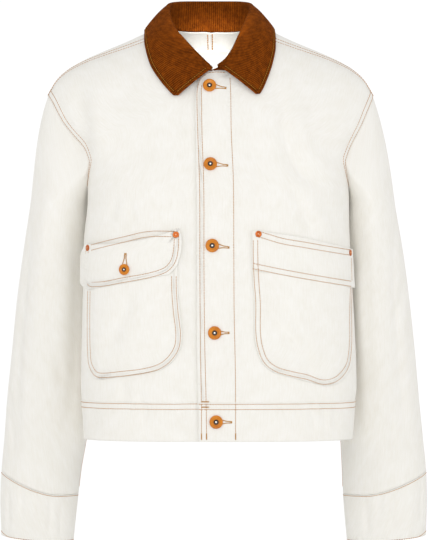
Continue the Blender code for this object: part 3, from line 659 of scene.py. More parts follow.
def stitched(name, lines, finish=thread, width=THREAD, pitch=STITCH_PITCH, length=STITCH_LENGTH):
    """Stitches along lines of points and normals. Each is a spindle of four sides: two tips that dip into
    the cloth, and two rings of four points between them."""
    starts, ends, ups = [], [], []
    for line, facing in lines:
        run = run_along(line, 0)
        count = max(1, int(run[-1] / pitch))
        at = (np.arange(count) + 0.5) * run[-1] / count
        reach = length / 2 * min(1, run[-1] / count / pitch)
        starts.append(line_at(at - reach, run, line))
        ends.append(line_at(at + reach, run, line))
        ups.append(unit(line_at(at, run, facing)))
    start, end, up = (np.concatenate(part) for part in (starts, ends, ups))
    aside = unit(np.cross(end - start, up)) * width / 2
    high = up * width * 0.45
    rings = [start - high * 0.6, end - high * 0.6]
    for t in (0.16, 0.84):
        centre = start + (end - start) * t
        rings += [centre + aside, centre + high, centre - aside, centre - high * 0.5]
    points = np.stack(rings, axis=1).reshape(-1, 3)
    ring = np.arange(4)
    after = (ring + 1) % 4
    triangles = [np.stack([np.zeros(4, int), ring + 2, after + 2], -1)]
    triangles.append(np.stack([np.ones(4, int), after + 6, ring + 6], -1))
    triangles.append(np.stack([ring + 2, ring + 6, after + 6], -1))
    triangles.append(np.stack([ring + 2, after + 6, after + 2], -1))
    one = np.concatenate(triangles)
    faces = (np.arange(len(start))[:, None, None] * 10 + one[None]).reshape(-1, 3)
    return made_of(name, points, faces, finish)


for (part, word), lines in rows.items():
    stitched(f"stitching_{part}_{word}", lines)
inside_rows = []
for word in ("right", "left"):
    line, facing = rows["back", word][-1]
    inside_rows.append((line - facing * (DENIM + 0.3), -facing))
stitched("stitching_inside_back", inside_rows, width=1.5, pitch=4.2, length=4.2)

# ---- Sleeves and cuffs ---------------------------------------------------------------------------------
# One-piece sleeves of the same denim hang from low armholes and end in deep set-on cuffs of one layer
# folded double. Each has a felled seam along its underside, and the cuff one row of stitching at its seam
# and one near its hem. Angle goes round the arm: 0 outside, 90 in front, 180 at the body.
SLEEVE_TOP = -232
SLEEVE_HEIGHTS = (-232, -300, -364, -434, -504, -563, -604, -646, -690, -705)
SLEEVE_HALF_DEPTH = (65, 61, 57, 53, 48, 43, 39, 36, 33.5, 33)
SLEEVES = {
    "right": {
        "height": SLEEVE_HEIGHTS,
        "outer": (-253.5, -264.5, -273.5, -281, -288.5, -293, -296.5, -298, -296.5, -296),
        "inner": (-169, -171, -168, -168, -171, -176.5, -183.5, -188, -192.5, -194),
        "depth": (21, 33, 41, 50, 56, 58, 57, 54, 50, 49),
        "half_depth": SLEEVE_HALF_DEPTH,
    },
    "left": {
        "height": SLEEVE_HEIGHTS,
        "outer": (260, 272.5, 281.5, 289.5, 296, 302, 306, 307.2, 305.5, 305),
        "inner": (189, 184, 180, 180, 181.5, 185, 187, 188.5, 192, 193.5),
        "depth": (23, 36, 45, 52, 57, 58, 57, 54, 50, 49),
        "half_depth": SLEEVE_HALF_DEPTH,
    },
}
CUFF_SEAM_OUTER = -607
CUFF_SEAM_DROP = 32
CUFF_HEM_OUTER = -697
CUFF_HEM_DROP = 6.5
CUFF_ROWS = (2.0, 84.5)
UNDERARM_COLUMNS = (1, 5)
CAP_RINGS = 30
SLEEVE_RINGS = 84
CUFF_RINGS = 26
ARC_PER_DEGREE = 0.9
SLEEVE_UNDER = 0.9
# Creases: how far out they stand, half their width, and the angles and heights they run through.
SLEEVE_CREASES = {
    "right": (
        (-3.5, 9, ((30, -236), (36, -308), (38, -458), (52, -606))),
        (-2.4, 8, ((79, -126), (76, -150), (75, -182))),
        (3.0, 14, ((66, -200), (70, -330), (72, -470))),
        (-4.6, 13, ((128, -236), (134, -330), (130, -470), (120, -590))),
        (2.7, 10, ((104, -330), (100, -420), (92, -520))),
        (-2.4, 7, ((80, -395), (98, -440), (112, -505))),
        (-2.2, 6, ((20, -480), (34, -540), (50, -600))),
        (-4.1, 12, ((212, -250), (262, -330), (318, -362))),
        (3.5, 14, ((226, -316), (268, -388), (330, -420))),
        (-3.8, 12, ((232, -404), (280, -440), (334, -452))),
        (-3.0, 10, ((214, -500), (262, -470), (300, -470))),
        (2.7, 12, ((230, -560), (286, -524), (330, -520))),
    ),
    "left": (
        (-3.2, 9, ((24, -236), (38, -260), (58, -448), (54, -600))),
        (3.2, 12, ((88, -190), (92, -300), (90, -430), (84, -560))),
        (-5.7, 12, ((134, -232), (138, -320), (134, -450), (126, -590))),
        (2.7, 9, ((112, -280), (114, -380), (110, -480))),
        (-2.4, 7, ((30, -330), (46, -372), (66, -396))),
        (-2.2, 6, ((70, -500), (80, -560), (92, -606))),
        (-4.3, 13, ((208, -240), (256, -310), (310, -350))),
        (3.2, 13, ((222, -330), (262, -372), (322, -412))),
        (-3.5, 11, ((236, -384), (276, -432), (330, -446))),
        (-3.2, 10, ((220, -486), (256, -480), (306, -492))),
        (2.4, 12, ((236, -540), (280, -530), (326, -540))),
    ),
}
CUFF_CREASES = {
    "right": (
        (-1.8, 4.5, ((36, -622), (40, -660), (38, -700))),
        (-1.4, 4, ((60, -618), (66, -650), (64, -680))),
        (1.4, 5, ((84, -640), (86, -700))),
        (-1.8, 4.5, ((104, -634), (110, -668), (108, -704))),
        (-1.2, 3.5, ((126, -650), (130, -704))),
        (-1.6, 5, ((200, -640), (206, -700))),
        (1.4, 5, ((244, -630), (250, -700))),
        (-1.6, 4.5, ((290, -622), (296, -690))),
        (-1.4, 4, ((334, -612), (338, -690))),
    ),
    "left": (
        (-1.6, 4.5, ((28, -612), (34, -650), (32, -690))),
        (1.4, 5, ((52, -622), (56, -700))),
        (-1.8, 4.5, ((76, -628), (80, -660), (84, -702))),
        (-1.4, 3.5, ((98, -634), (102, -672))),
        (-1.9, 5, ((118, -640), (120, -704))),
        (-1.6, 5, ((214, -640), (208, -700))),
        (1.4, 5, ((256, -630), (262, -700))),
        (-1.6, 4.5, ((302, -622), (298, -690))),
    ),
}


def sleeve_form(table, angle, height):
    """The sleeve below the armpit: ovals between its outer and inner edge."""
    column = {name: along(table, name, "height", height) for name in list(table)[1:]}
    middle = (column["outer"] + column["inner"]) / 2
    half = (column["outer"] - column["inner"]) / 2
    x = middle + half * np.cos(angle)
    y = column["depth"] - column["half_depth"] * np.sin(angle)
    return np.stack([x, y, np.broadcast_to(height, x.shape)], axis=-1)


def cuff_heights(angle):
    """The cuff's seam and hem: both run lower towards the inner side of the wrist."""
    round_way = np.minimum(angle, 2 * np.pi - angle)
    fall = smooth(round_way / np.radians(122))
    return CUFF_SEAM_OUTER - CUFF_SEAM_DROP * fall, CUFF_HEM_OUTER - CUFF_HEM_DROP * fall


def grid_normals(points, toward, tube=False):
    """Unit normals of a grid, on the side that toward, a vector at each point, mostly faces."""
    if tube:
        across = np.roll(points, -1, axis=1) - np.roll(points, 1, axis=1)
    else:
        across = np.gradient(points, axis=1)
    normal = unit(np.cross(across, np.gradient(points, axis=0)))
    return normal * np.sign(np.sum(normal * toward))


def sleeve_tube(word, loop, side):
    """Rings from the armhole's loop to the cuff's hem. The cap's lines leave the loop outwards and down,
    along a cubic with set slopes at both ends."""
    table = SLEEVES[word]
    angle = np.linspace(0, 2 * np.pi, len(loop), endpoint=False)
    top = sleeve_form(table, angle, np.full(len(loop), float(SLEEVE_TOP)))
    reach = np.linalg.norm(top - loop, axis=-1, keepdims=True)
    leave = unit(np.array([side * 0.34, 0.0, -0.93])) * reach
    arrive = unit(np.array([side * 0.13, 0.06, -1.0])) * reach * 0.9
    v = np.linspace(0, 1, CAP_RINGS + 1)[:-1, None, None]
    cap = loop * (1 - 3 * v**2 + 2 * v**3) + top * (3 * v**2 - 2 * v**3)
    cap = cap + leave * (v - 2 * v**2 + v**3) + arrive * (v**3 - v**2)
    seam, hem = cuff_heights(angle)
    heights = [SLEEVE_TOP + (seam - SLEEVE_TOP) * np.linspace(0, 1, SLEEVE_RINGS + 1)[:, None]]
    heights.append(seam + (hem - seam) * np.linspace(0, 1, CUFF_RINGS + 1)[1:, None])
    heights = np.concatenate(heights)
    below = sleeve_form(table, np.broadcast_to(angle, heights.shape), heights)
    tube = np.concatenate([cap, below])
    normal = grid_normals(tube, tube - tube.mean(axis=1, keepdims=True), tube=True)
    degrees = np.broadcast_to(np.degrees(angle), tube.shape[:2])
    rings = len(cap) + SLEEVE_RINGS
    height = np.zeros(tube.shape[:2])
    for table, first in ((SLEEVE_CREASES[word], 0), (CUFF_CREASES[word], rings)):
        paths = [(out, wide, [(a * ARC_PER_DEGREE, z) for a, z in path]) for out, wide, path in table]
        for whole_turn in (0, -360):
            height = height + creased((degrees + whole_turn) * ARC_PER_DEGREE, tube[..., 2], paths)
    height = height * smooth(np.arange(len(tube)) / 12)[:, None]
    return tube + normal * height[..., None], normal, rings


for side, word in ((-1, "right"), (1, "left")):
    front_loop = fronts["front", word][0][SIDE_ROWS:, -1][::-1]
    back_loop = fronts["back", word][0][SIDE_ROWS:, -1]
    loop = np.concatenate([front_loop, back_loop[1:-1]])
    front_normal = fronts["front", word][1][SIDE_ROWS:, -1][::-1]
    back_normal = fronts["back", word][1][SIDE_ROWS + 1 : -1, -1]
    loop = loop - np.concatenate([front_normal, back_normal]) * SLEEVE_UNDER
    tube, normal, rings = sleeve_tube(word, loop, side)
    half = tube.shape[1] // 2
    tube, normal = np.roll(tube, -half, axis=1), np.roll(normal, -half, axis=1)
    underarm = []
    for column in UNDERARM_COLUMNS:
        line, facing = tube[2 : rings - 1, column], normal[2 : rings - 1, column]
        underarm.append((line + facing * ON_CLOTH, facing))
    cuff, cuff_normal = tube[rings:], normal[rings:]
    upright, upright_normal = cuff.swapaxes(0, 1)[:, ::-1], cuff_normal.swapaxes(0, 1)[:, ::-1]
    round_cuff = []
    for away in CUFF_ROWS:
        line, facing = inside_edge(upright, upright_normal, away)
        round_cuff.append((np.concatenate([line, line[:1]]), np.concatenate([facing, facing[:1]])))
    sleeve, sleeve_normal = drawn_in(tube[: rings + 1], 0), normal[: rings + 1]
    made = cloth(f"sleeve_tube_{word}", sleeve, sleeve_normal, denim, underarm, tube=True)
    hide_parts(f"sleeve_{word}")
    cuff = drawn_in(cuff, 0, True, False)
    made = cloth(f"cuff_tube_{word}", cuff, cuff_normal, denim, round_cuff, tube=True)
    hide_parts(f"cuff_{word}")
    stitched(f"stitching_sleeve_{word}", underarm + round_cuff)

# ---- Hem band ------------------------------------------------------------------------------------------
# A straight band of denim, folded double over the raw lower edges of the panels and sewn with two rows.
HEM_LAP = 4.8
HEM_OUT = 0.9
HEM_RINGS = 22
HEM_ROWS = (2.4, 9.6)
HEM_THICK = 0.85
hem_levels = np.linspace(HEM, HEM_SEAM + HEM_LAP, HEM_RINGS + 1)
for word, side, turns in (
    ("right", -1, panel_grid(-1, True)[0, :, 0]),
    ("left", 1, panel_grid(1, True)[0, :, 0]),
    ("back", 0, np.concatenate([panel_grid(1, False)[0, ::-1, 0], panel_grid(-1, False)[0, 1:, 0] + 360])),
):
    turn, level = np.meshgrid(turns, hem_levels)
    turn = np.where(turn > 180, turn - 360, turn)
    face, facing = on_body(turn, level)
    if side:
        face = face - facing * lap_drop(side, face)[..., None]
    face = face + facing * HEM_OUT
    over, facing_over = face.swapaxes(0, 1), facing.swapaxes(0, 1)
    lines = [inside_edge(over, facing_over, away) for away in HEM_ROWS]
    made = cloth(f"hem_{word}", drawn_in(face, 1, not side, True), facing, denim, lines, thick=HEM_THICK)
    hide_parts(f"hem_band_{word}")
    if word == "left":
        for places in (PLACKET_OUTER, PLACKET_INNER, PLACKET_FAR):
            line, normals = laid_line(places, HEM_OUT + ON_CLOTH)
            lower = line[:, 2] < HEM_SEAM + HEM_LAP
            lines.append((line[lower], normals[lower]))
    stitched(f"stitching_hem_{word}", lines)

# ---- Pockets -------------------------------------------------------------------------------------------
# Large patch pockets of one layer with turned edges, each sewn on with two rows. The right one closes with
# a buttoned flap and the left one has a wide sewn band at its mouth. Their edges are seen from the front.
POCKET = 1.2
POCKET_LIFT = 1.0
FLAP_LIFT = 3.6
BAND_LIFT = 2.8
PUFF = 1.0
PUFF_FROM = 13
PUFF_WIDTH = 18
POCKETS = {
    "pocket_right": {
        "outer_x": (-172.5, -173.9, -174.2, -173.9, -171.9, -163.5, -151.3),
        "outer_z": (-290, -351.4, -394.8, -427, -456.4, -471.5, -474.9),
        "inner_x": (-45.5, -45.8, -42.7, -39.9, -42.1, -52.8, -68.5),
        "inner_z": (-268, -343, -380.5, -413.4, -431.2, -449.4, -461.4),
    },
    "pocket_flap_right": {
        "outer_x": (-171.5, -178.5, -179.9, -179.9, -176.3, -167),
        "outer_z": (-285.6, -303.4, -316.4, -331.8, -343.4, -349.2),
        "inner_x": (-43.4, -39.9, -40.6, -42.9, -47.4, -57),
        "inner_z": (-264, -280.6, -294, -304, -317, -327.7),
    },
    "pocket_left": {
        "outer_x": (197.4, 199.5, 200.2, 199.5, 198.9, 194.5, 179.9, 159.9),
        "outer_z": (-294, -316.4, -337.4, -380.8, -437.8, -460.6, -479.1, -484.4),
        "inner_x": (58.1, 58.9, 59.5, 61.5, 62.2, 65.8, 74.1, 89.9),
        "inner_z": (-267, -310.8, -337.4, -366.8, -415.8, -435.4, -453.6, -465.6),
    },
    "pocket_band_left": {
        "outer_x": (197.4, 199, 199.8),
        "outer_z": (-294, -320, -347),
        "inner_x": (58.1, 58.4, 58.9),
        "inner_z": (-267, -295, -322),
    },
}
# How far each lies out, how far its top edge dips, how near the side it reaches, and its flat cut.
POCKET_LAID = {
    "pocket_right": (POCKET_LIFT, 7, 0.982, (0.15, 0.22), 0.029),
    "pocket_flap_right": (FLAP_LIFT, 7, 0.997, (0.16, 0.08), 0.0112),
    "pocket_left": (POCKET_LIFT, -4, 0.982, (0.17, 0.22), 0.0335),
    "pocket_band_left": (BAND_LIFT, -4, 0.995, (0.17, 0.07), 0.0108),
}
ROW_APART = 6.2
TOP_APART = 7.4
BAND_APART = 7.2
RIGHT_EDGE = ((-171.9, -351.4), (-172.5, -394.8), (-171.9, -437.8), (-169.8, -456.4), (-161.3, -470.5),
              (-151.3, -472.8), (-125.6, -470.5), (-91.3, -466.2), (-68.5, -459.2), (-54.2, -447.7),
              (-44.1, -430.6), (-42, -413.4), (-45.5, -380.5), (-47.7, -352), (-48, -330.4))
LEFT_EDGE = ((59.9, -280), (60.1, -310.8), (61.3, -337.4), (63.4, -366.8), (64.1, -415.8), (67.8, -434.8),
             (75.6, -452.1), (89.9, -463.4), (112.7, -470.4), (132.7, -474.9), (159.9, -482.3),
             (178.5, -476.8), (192.8, -459.2), (197, -437.8), (197.7, -380.8), (198.4, -337.4),
             (197.5, -305.2))
FLAP_EDGE = ((-174, -294), (-176.5, -310.8), (-177.2, -324.8), (-175, -337.4), (-168.7, -345),
             (-158.9, -345.2), (-121.4, -339.1), (-74.9, -329.8), (-58.8, -322.8), (-49, -310.1),
             (-44.7, -288.4), (-44.4, -270.2))
FLAP_TOP = ((-167.7, -287), (-147.7, -281.7), (-118.4, -274.8), (-94.1, -269.1), (-74.1, -267.4),
            (-49.7, -268))
BAND_TOP = ((65.1, -267.4), (72, -269.1), (101.4, -277.8), (129.9, -282.7), (162.7, -288.4), (196.7, -294))
BAND_LOW = ((59.9, -312.8), (101.5, -321.3), (146.3, -329.4), (197, -337.7))


def patch(name, columns, rings):
    """A piece laid on a front between its two seen edges. It stands a little out away from its sewn edges."""
    lift, dip, reach, flat, area = POCKET_LAID[name]
    outer = rows_of(POCKETS[name], rings, ("outer_x", "outer_z"))
    inner = rows_of(POCKETS[name], rings, ("inner_x", "inner_z"))
    ends = [seen_at(side[:, 0], side[:, 1], reach)[0][:, None] for side in (outer, inner)]
    sine = np.sin(np.radians(ends[0] + (ends[1] - ends[0]) * np.linspace(0, 1, columns)))
    ends = [np.sin(np.radians(end)) for end in ends]
    u = ((sine - ends[0]) / (ends[1] - ends[0]))[..., None]
    seen = outer[:, None] * (1 - u) + inner[:, None] * u
    fade = np.linspace(1, 0, rings)[:, None]
    seen[..., 1] -= dip * 4 * (u * (1 - u))[..., 0] * fade
    turn, level = seen_at(seen[..., 0], seen[..., 1], reach)
    face, facing = on_body(turn, level)
    across, down = run_along(face, 1), run_along(face, 0)
    edge = np.minimum(np.minimum(across, across[:, -1:] - across), np.minimum(down, down[-1:] - down))
    return face + facing * (lift + POCKET + PUFF * smooth((edge - PUFF_FROM) / PUFF_WIDTH))[..., None], facing


def pair(places, out, apart=ROW_APART):
    """Two rows of stitching, the second this far inside the first."""
    return [laid_line(places, out, away) for away in (0, apart)]


on_pocket = POCKET_LIFT + POCKET + ON_CLOTH
on_flap = FLAP_LIFT + POCKET + ON_CLOTH
on_band = BAND_LIFT + POCKET + ON_CLOTH
pocket_rows = {
    "pocket_right": pair(RIGHT_EDGE, on_pocket),
    "pocket_left": pair(LEFT_EDGE[2:-1], on_pocket),
    "pocket_flap_right": pair(FLAP_EDGE, on_flap) + pair(FLAP_TOP, on_flap, -TOP_APART),
    "pocket_band_left": pair(BAND_TOP, on_band, -TOP_APART) + pair(BAND_LOW, on_band, -BAND_APART)
    + pair(LEFT_EDGE[:3], on_band) + [laid_line(LEFT_EDGE[-2:], on_band, 0.5)],
}
PATCH_COLUMNS = 91
PATCH_RINGS = {"pocket_right": 101, "pocket_flap_right": 41, "pocket_left": 111, "pocket_band_left": 31}
for name, rings in PATCH_RINGS.items():
    face, facing = patch(name, PATCH_COLUMNS, rings)
    word = name.replace("pocket", "patch")
    made = cloth(word, face, facing, denim, pocket_rows[name][:4], thick=POCKET, rim=0.4)
    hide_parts(name)
    stitched(f"stitching_{name}", pocket_rows[name])

# ---- Collar --------------------------------------------------------------------------------------------
# A one-piece collar of brown cotton corduroy: it stands up from the neckline, folds over and falls in two
# pointed leaves, with one row of stitching near its free edge. A station runs along each table's rows, from
# the front end to the back of the neck.
CORDUROY = 2.4
FOLD_RADIUS = 3.6
COLLAR_LIFT = 1.8
NECK_GAP = 0.8
LEAF_BOW = 3
COLLAR_ROW = 3.8
CORNER = 4.5
COLLARS = {
    "right": {
        "fold_x": (3.2, -8, -21, -33.5, -45.5, -53.5, -57, -55.5, -45, -25, 0),
        "fold_y": (-88, -84, -76, -65, -50, -28, 4, 30, 51, 62, 65),
        "fold_z": (-37.5, -27, -14, -0.5, 13, 27, 44.5, 51.5, 53.8, 54.2, 54.2),
        "edge_x": (-48.5, -58, -71, -83.5, -90.5, -93, -91.5, -84, -66, -37, 0),
        "edge_z": (-79, -70, -54.5, -35, -13, 3, 14.5, 14, 9, 6, 5),
    },
    "left": {
        "fold_x": (10, 20, 28.5, 35.5, 42.5, 49.5, 55, 54, 44.5, 25, 0),
        "fold_y": (-88, -83, -75, -64, -50, -28, 4, 30, 51, 62, 65),
        "fold_z": (-34, -26, -14, 0, 15, 31, 45.5, 51.5, 53.8, 54.2, 54.2),
        "edge_x": (67, 73, 79, 86, 91, 91.5, 89.5, 82, 65, 37, 0),
        "edge_z": (-77, -68, -54.5, -35, -13, 3, 14.5, 14, 9, 6, 5),
    },
}
RIDGE_ROW = 6
STAND_STEPS = 8
BEND_STEPS = 12
LEAF_STEPS = 30


def behind_at(x, z):
    """Turn and level of the place on the back with this x and z."""
    lift, level = raised(x, z)
    side = side_of(x, level)
    turn = np.degrees(np.arcsin(np.clip(side, -0.9995, 0.9995)))
    for _ in range(6):
        narrow = 1 - BACK_NARROW * np.cos(np.radians(turn)) ** 1.5 * np.cos(lift) ** 2
        turn = np.degrees(np.arcsin(np.clip(side / narrow, -0.9995, 0.9995)))
    return np.where(turn < 0, -180 - turn, 180 - turn), level


def collar_side(table, side):
    """Stations of one half of the collar, from its front end to the back: neck seam, fold, free edge."""
    front = rows_of(NECKLINE_FRONT, NECK_FRONT_ROWS + 1)
    back = rows_of(NECKLINE_BACK, NECK_BACK_ROWS + 1)
    neck = np.concatenate([front, back[1:]])
    seam = body_form(side * neck[:, 0], neck[:, 1]) + (0, 0, NECK_GAP)
    last = len(table["fold_x"]) - 1
    row = np.linspace(0, RIDGE_ROW, NECK_FRONT_ROWS + 1)
    row = np.concatenate([row, np.linspace(RIDGE_ROW, last, NECK_BACK_ROWS + 1)[1:]])
    fold = rows_of(table, row, ("fold_x", "fold_y", "fold_z"))
    edge = rows_of(table, row, ("edge_x", "edge_z"))
    behind = row > RIDGE_ROW
    x, z = edge[:, 0], edge[:, 1]
    for _ in range(6):
        turn, level = (np.where(behind, b, f) for b, f in zip(behind_at(x, z), before_at(x, z)))
        point = body_form(turn, level) + outward(body_form, turn, level) * (COLLAR_LIFT + CORDUROY)
        target = unseen(edge[:, 0], edge[:, 1], point[:, 1])
        x, z = x + target[:, 0] - point[:, 0], z + target[:, 2] - point[:, 2]
    return seam, unseen(fold[:, 0], fold[:, 2], fold[:, 1]), target


right, left = collar_side(COLLARS["right"], -1), collar_side(COLLARS["left"], 1)
seam, fold, edge = (np.concatenate([r, l[-2::-1]]) for r, l in zip(right, left))
for _ in range(12):
    edge[1:-1, 1] = (edge[:-2, 1] + 2 * edge[1:-1, 1] + edge[2:, 1]) / 4
tangent = unit(np.gradient(fold, axis=0))
upward = fold - (seam + edge) / 2
upward = unit(upward - tangent * np.sum(upward * tangent, -1, keepdims=True))
out = unit(np.cross(upward, tangent))
out = np.where(np.sum(out * (edge - seam), -1, keepdims=True) < 0, -out, out)
height = np.linalg.norm(fold - seam, axis=-1, keepdims=True)
radius = np.minimum(FOLD_RADIUS, height * 0.45)
middle = fold - upward * radius
hang = edge - middle - out * radius
leaf_out = unit(out - hang * np.sum(out * hang, -1, keepdims=True) / np.sum(hang * hang, -1, keepdims=True))
bends = np.radians(np.linspace(0, 180, BEND_STEPS + 1))
bend = [middle + (upward * math.sin(a) - out * math.cos(a)) * radius for a in bends]
foot = seam - out * CORDUROY * (1, 1, 0)
stand = [foot + (bend[0] - foot) * t for t in np.linspace(0, 1, STAND_STEPS + 1)[:-1]]
leaf = [
    bend[-1] + (edge - bend[-1]) * t + leaf_out * LEAF_BOW * 4 * t * (1 - t)
    for t in np.linspace(0, 1, LEAF_STEPS + 1)[1:]
]
collar = np.stack(stand + bend + leaf, axis=0)
facing = np.zeros(collar.shape)
facing[len(stand) + len(bend) :] = leaf_out
facing = grid_normals(collar, facing)


def round_corner(points, first, last_column):
    """The corner of a grid's last row drawn in to an arc, as a square is mapped on a disc."""
    if last_column:
        return round_corner(points[:, ::-1], first, False)[:, ::-1]
    along_edge, from_edge = run_along(points, 1), run_along(points[::-1], 0)[::-1]
    p = np.clip(1 - along_edge / first, 0, 1)
    q = np.clip(1 - from_edge / first, 0, 1)
    inward_p = unit(points[:, 1:2] - points[:, :1])
    inward_q = unit(points[-2:-1] - points[-1:])
    shift_p = (p - p * np.sqrt(1 - q * q / 2)) * first
    shift_q = (q - q * np.sqrt(1 - p * p / 2)) * first
    return points + inward_p * shift_p[..., None] + inward_q * shift_q[..., None]


collar = round_corner(round_corner(collar, CORNER, False), CORNER, True)


def corduroy_finish(name, light, dark):
    """Brown needlecord: cut cotton pile in wales that run from the fold to the free edge, about 2.8 mm apart.
    The pile is painted lighter along the wale tops, a painted highlight where it catches the light, and
    darker in the lines between, a painted shade; it is also rubbed in patches."""
    matt = {"Specular_IOR_Level": 0.05, "Sheen_Weight": 0.12, "Sheen_Roughness": 0.4}
    made, tree, shader = finish_of(name, 0.95, **matt)
    shader.inputs["Sheen Tint"].default_value = colour("b8741e")
    uv = node(tree, "UVMap", uv_map="cloth")
    wander = noise(tree, uv, 60.0, 2.0)
    bent = node(tree, "VectorMath", {0: wander, 1: (0.0016, 0.0, 0.0), 2: uv}, operation="MULTIPLY_ADD")
    wales = waves(tree, bent, 0, 0, 2.8)
    rub = noise(tree, uv, 110.0, 5.0, 0.75)
    pile_at = node(tree, "VectorMath", {0: uv, 1: (1500, 300, 1)}, operation="MULTIPLY")
    pile = noise(tree, pile_at, 1.0, 2.0)
    # The colour's tone: the wales' painted highlight and shade, then the rubbed patches and the pile.
    tone = maths(tree, "MULTIPLY_ADD", wales, 0.3, rub)
    tone = maths(tree, "MULTIPLY_ADD", pile, 0.5, tone)
    tone = ramp(tree, tone, 0.7, 1.15)
    # Painted shade: beside the stitch row the colour is darkened to 0.45, back to full by 2.2 mm, for the
    # shade in the row's sunk groove.
    beside = ramp(tree, stored(tree, "row_off"), 0.8, 2.2, 0.45)
    shade = node(tree, "VectorMath", {0: blend(tree, tone, dark, light), "Scale": beside}, operation="SCALE")
    tree.links.new(shade, shader.inputs["Base Color"])
    height = maths(tree, "MULTIPLY_ADD", pile, 0.35, wales)
    height = maths(tree, "MULTIPLY_ADD", rub, 1.6, height)
    bump = node(tree, "Bump", {"Strength": 1.0, "Distance": 0.7 * MM, "Height": height})
    tree.links.new(bump, shader.inputs["Normal"])
    return made


corduroy = corduroy_finish("brown needlecord", "984c0f", "502203")
leaf_from = len(stand) + len(bend)
over, facing_over = collar[leaf_from:].swapaxes(0, 1), facing[leaf_from:].swapaxes(0, 1)
collar_rows = [inside_edge(over[4:-4], facing_over[4:-4], COLLAR_ROW)]
for columns in (slice(None), slice(None, None, -1)):
    leaf_end, leaf_facing = (grid[leaf_from + 1 : -3, columns][:, ::-1] for grid in (collar, facing))
    collar_rows.append(inside_edge(leaf_end, leaf_facing, COLLAR_ROW))
made = cloth("corduroy_collar", collar, facing, corduroy, collar_rows, thick=CORDUROY, rim=0.45)
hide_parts("collar")
collar_thread = thread_finish("golden brown thread", "c07f2c")
stitched("stitching_collar", collar_rows, collar_thread)

# ---- Label ---------------------------------------------------------------------------------------------
# A bare woven tape label, sewn flat inside the back below the neckline.
LABEL_WIDTH = 46
LABEL_TOP = -6.5
LABEL_BOTTOM = -48
LABEL = 0.8
LABEL_GAP = 1.2
across = np.linspace(-LABEL_WIDTH / 2, LABEL_WIDTH / 2, 25)
turn, level = behind_at(*np.meshgrid(across, np.linspace(LABEL_BOTTOM, LABEL_TOP, 17)))
face, facing = on_body(turn, level, -(DENIM + LABEL_GAP + LABEL))
tape = plain("bare woven tape", "eceae5", 0.7, Sheen_Weight=0.2)
made = cloth("bare_label", face, -facing, tape, thick=LABEL)
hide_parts("label")

# ---- Buttons and buttonholes ---------------------------------------------------------------------------
# Amber resin buttons with the bright end of their post in a dished middle, each through a keyhole
# buttonhole worked in tan thread. The middle's dark is painted shade: a dark disc stands for the shade in the
# recess round the post. Sizes are seen from the front.
BUTTONS = {"x": (-1.3, -0.1, 2.5, 5.9, 8), "z": (-63.7, -173.6, -287.7, -410.1, -534.8)}
HOLE_ENDS = {"x": (21.6, 24.1, 25.8, 26, 29.5), "z": (-67.3, -175.6, -290.5, -410.1, -535.2)}
BUTTON_GAP = 0.4
BUTTON_RADIUS = 9.2
FLAP_BUTTON = (-120.5, -321.3)
FLAP_HOLE_END = (-119.1, -299.2)
FLAP_BUTTON_RADIUS = 7.6
# Radius and height over the button's radius: the dished amber disc, its painted recess shade and the bright
# post end.
DISC = ((0, 0.02), (0.86, 0.02), (0.96, 0.06), (1, 0.14), (0.99, 0.22), (0.95, 0.29), (0.88, 0.335),
        (0.8, 0.35), (0.7, 0.33), (0.58, 0.27), (0.46, 0.22), (0.34, 0.2), (0, 0.2))
POST_END = ((0.17, 0.2), (0.17, 0.26), (0.14, 0.3), (0.08, 0.33), (0, 0.335))
RECESS_SHADE = ((0, 0.19), (0.38, 0.205), (0.385, 0.235), (0.34, 0.245), (0.28, 0.225), (0, 0.215))


def turned(name, place, out, radius, profile, finish, steps=40):
    """A round piece turned from a profile of radius and height, standing on the front's cloth."""
    turn, level = below(np.array(place[0]), np.array(place[1]), out)
    base, axis = on_body(turn, level, out)
    aside = unit(np.cross(axis, (0, 0, 1)))
    up = np.cross(aside, axis)
    angle = np.linspace(0, 2 * np.pi, steps, endpoint=False)
    around = np.cos(angle)[:, None] * aside + np.sin(angle)[:, None] * up
    points = np.concatenate([base + around * r * radius + axis * h * radius for r, h in profile])
    ids = np.arange(len(profile) * steps).reshape(len(profile), steps)
    ids = np.concatenate([ids, ids[:, :1]], axis=1)
    faces = quads(ids[:-1, :-1], ids[1:, :-1], ids[1:, 1:], ids[:-1, 1:])[:, ::-1]
    return made_of(name, points, faces, finish)


amber, tree, shader = finish_of("amber resin", 0.3, Specular_IOR_Level=0.3)
places = tree.nodes.new("ShaderNodeTexCoord").outputs["Object"]
streaks = noise(tree, places, 90.0, 3.0)
tree.links.new(blend(tree, streaks, "a9540a", "f09a2a"), shader.inputs["Base Color"])
nickel = plain("bright nickel", "f4f4f2", 0.22, Metallic=1.0)
# A dark disc laid in the button's dished middle: painted shade for the recess round the post.
recess_shade = plain("painted button recess shade", "2a1c12", 0.5)


def buttonhole(start, end, out):
    """Satin stitches across both sides of a keyhole that narrows from the button to a bar tack."""
    start, end = np.array(start), np.array(end)
    length = np.linalg.norm(end - start)
    ahead = (end - start) / length
    aside = np.array([-ahead[1], ahead[0]])
    lines = []
    for at in np.arange(5, length - 1, 0.5):
        gap = 0.35 + 1.9 * smooth((0.78 * length - at) / (0.5 * length))
        for way in (-1, 1):
            ends = np.array([start + ahead * at + aside * way * d for d in (gap, gap + 1.5)])
            lines.append(ends)
    for at in (-1.2, -0.6, 0.0, 0.6):
        lines.append(np.array([end + ahead * at + aside * d for d in (-1.9, 1.9)]))
    flat = np.concatenate(lines)
    turn, level = below(flat[:, 0], flat[:, 1], out)
    points, facing = on_body(turn, level, out)
    return [(points[i : i + 2], facing[i : i + 2]) for i in range(0, len(points), 2)]


hole_thread = thread_finish("dark golden thread", "cf9a52")
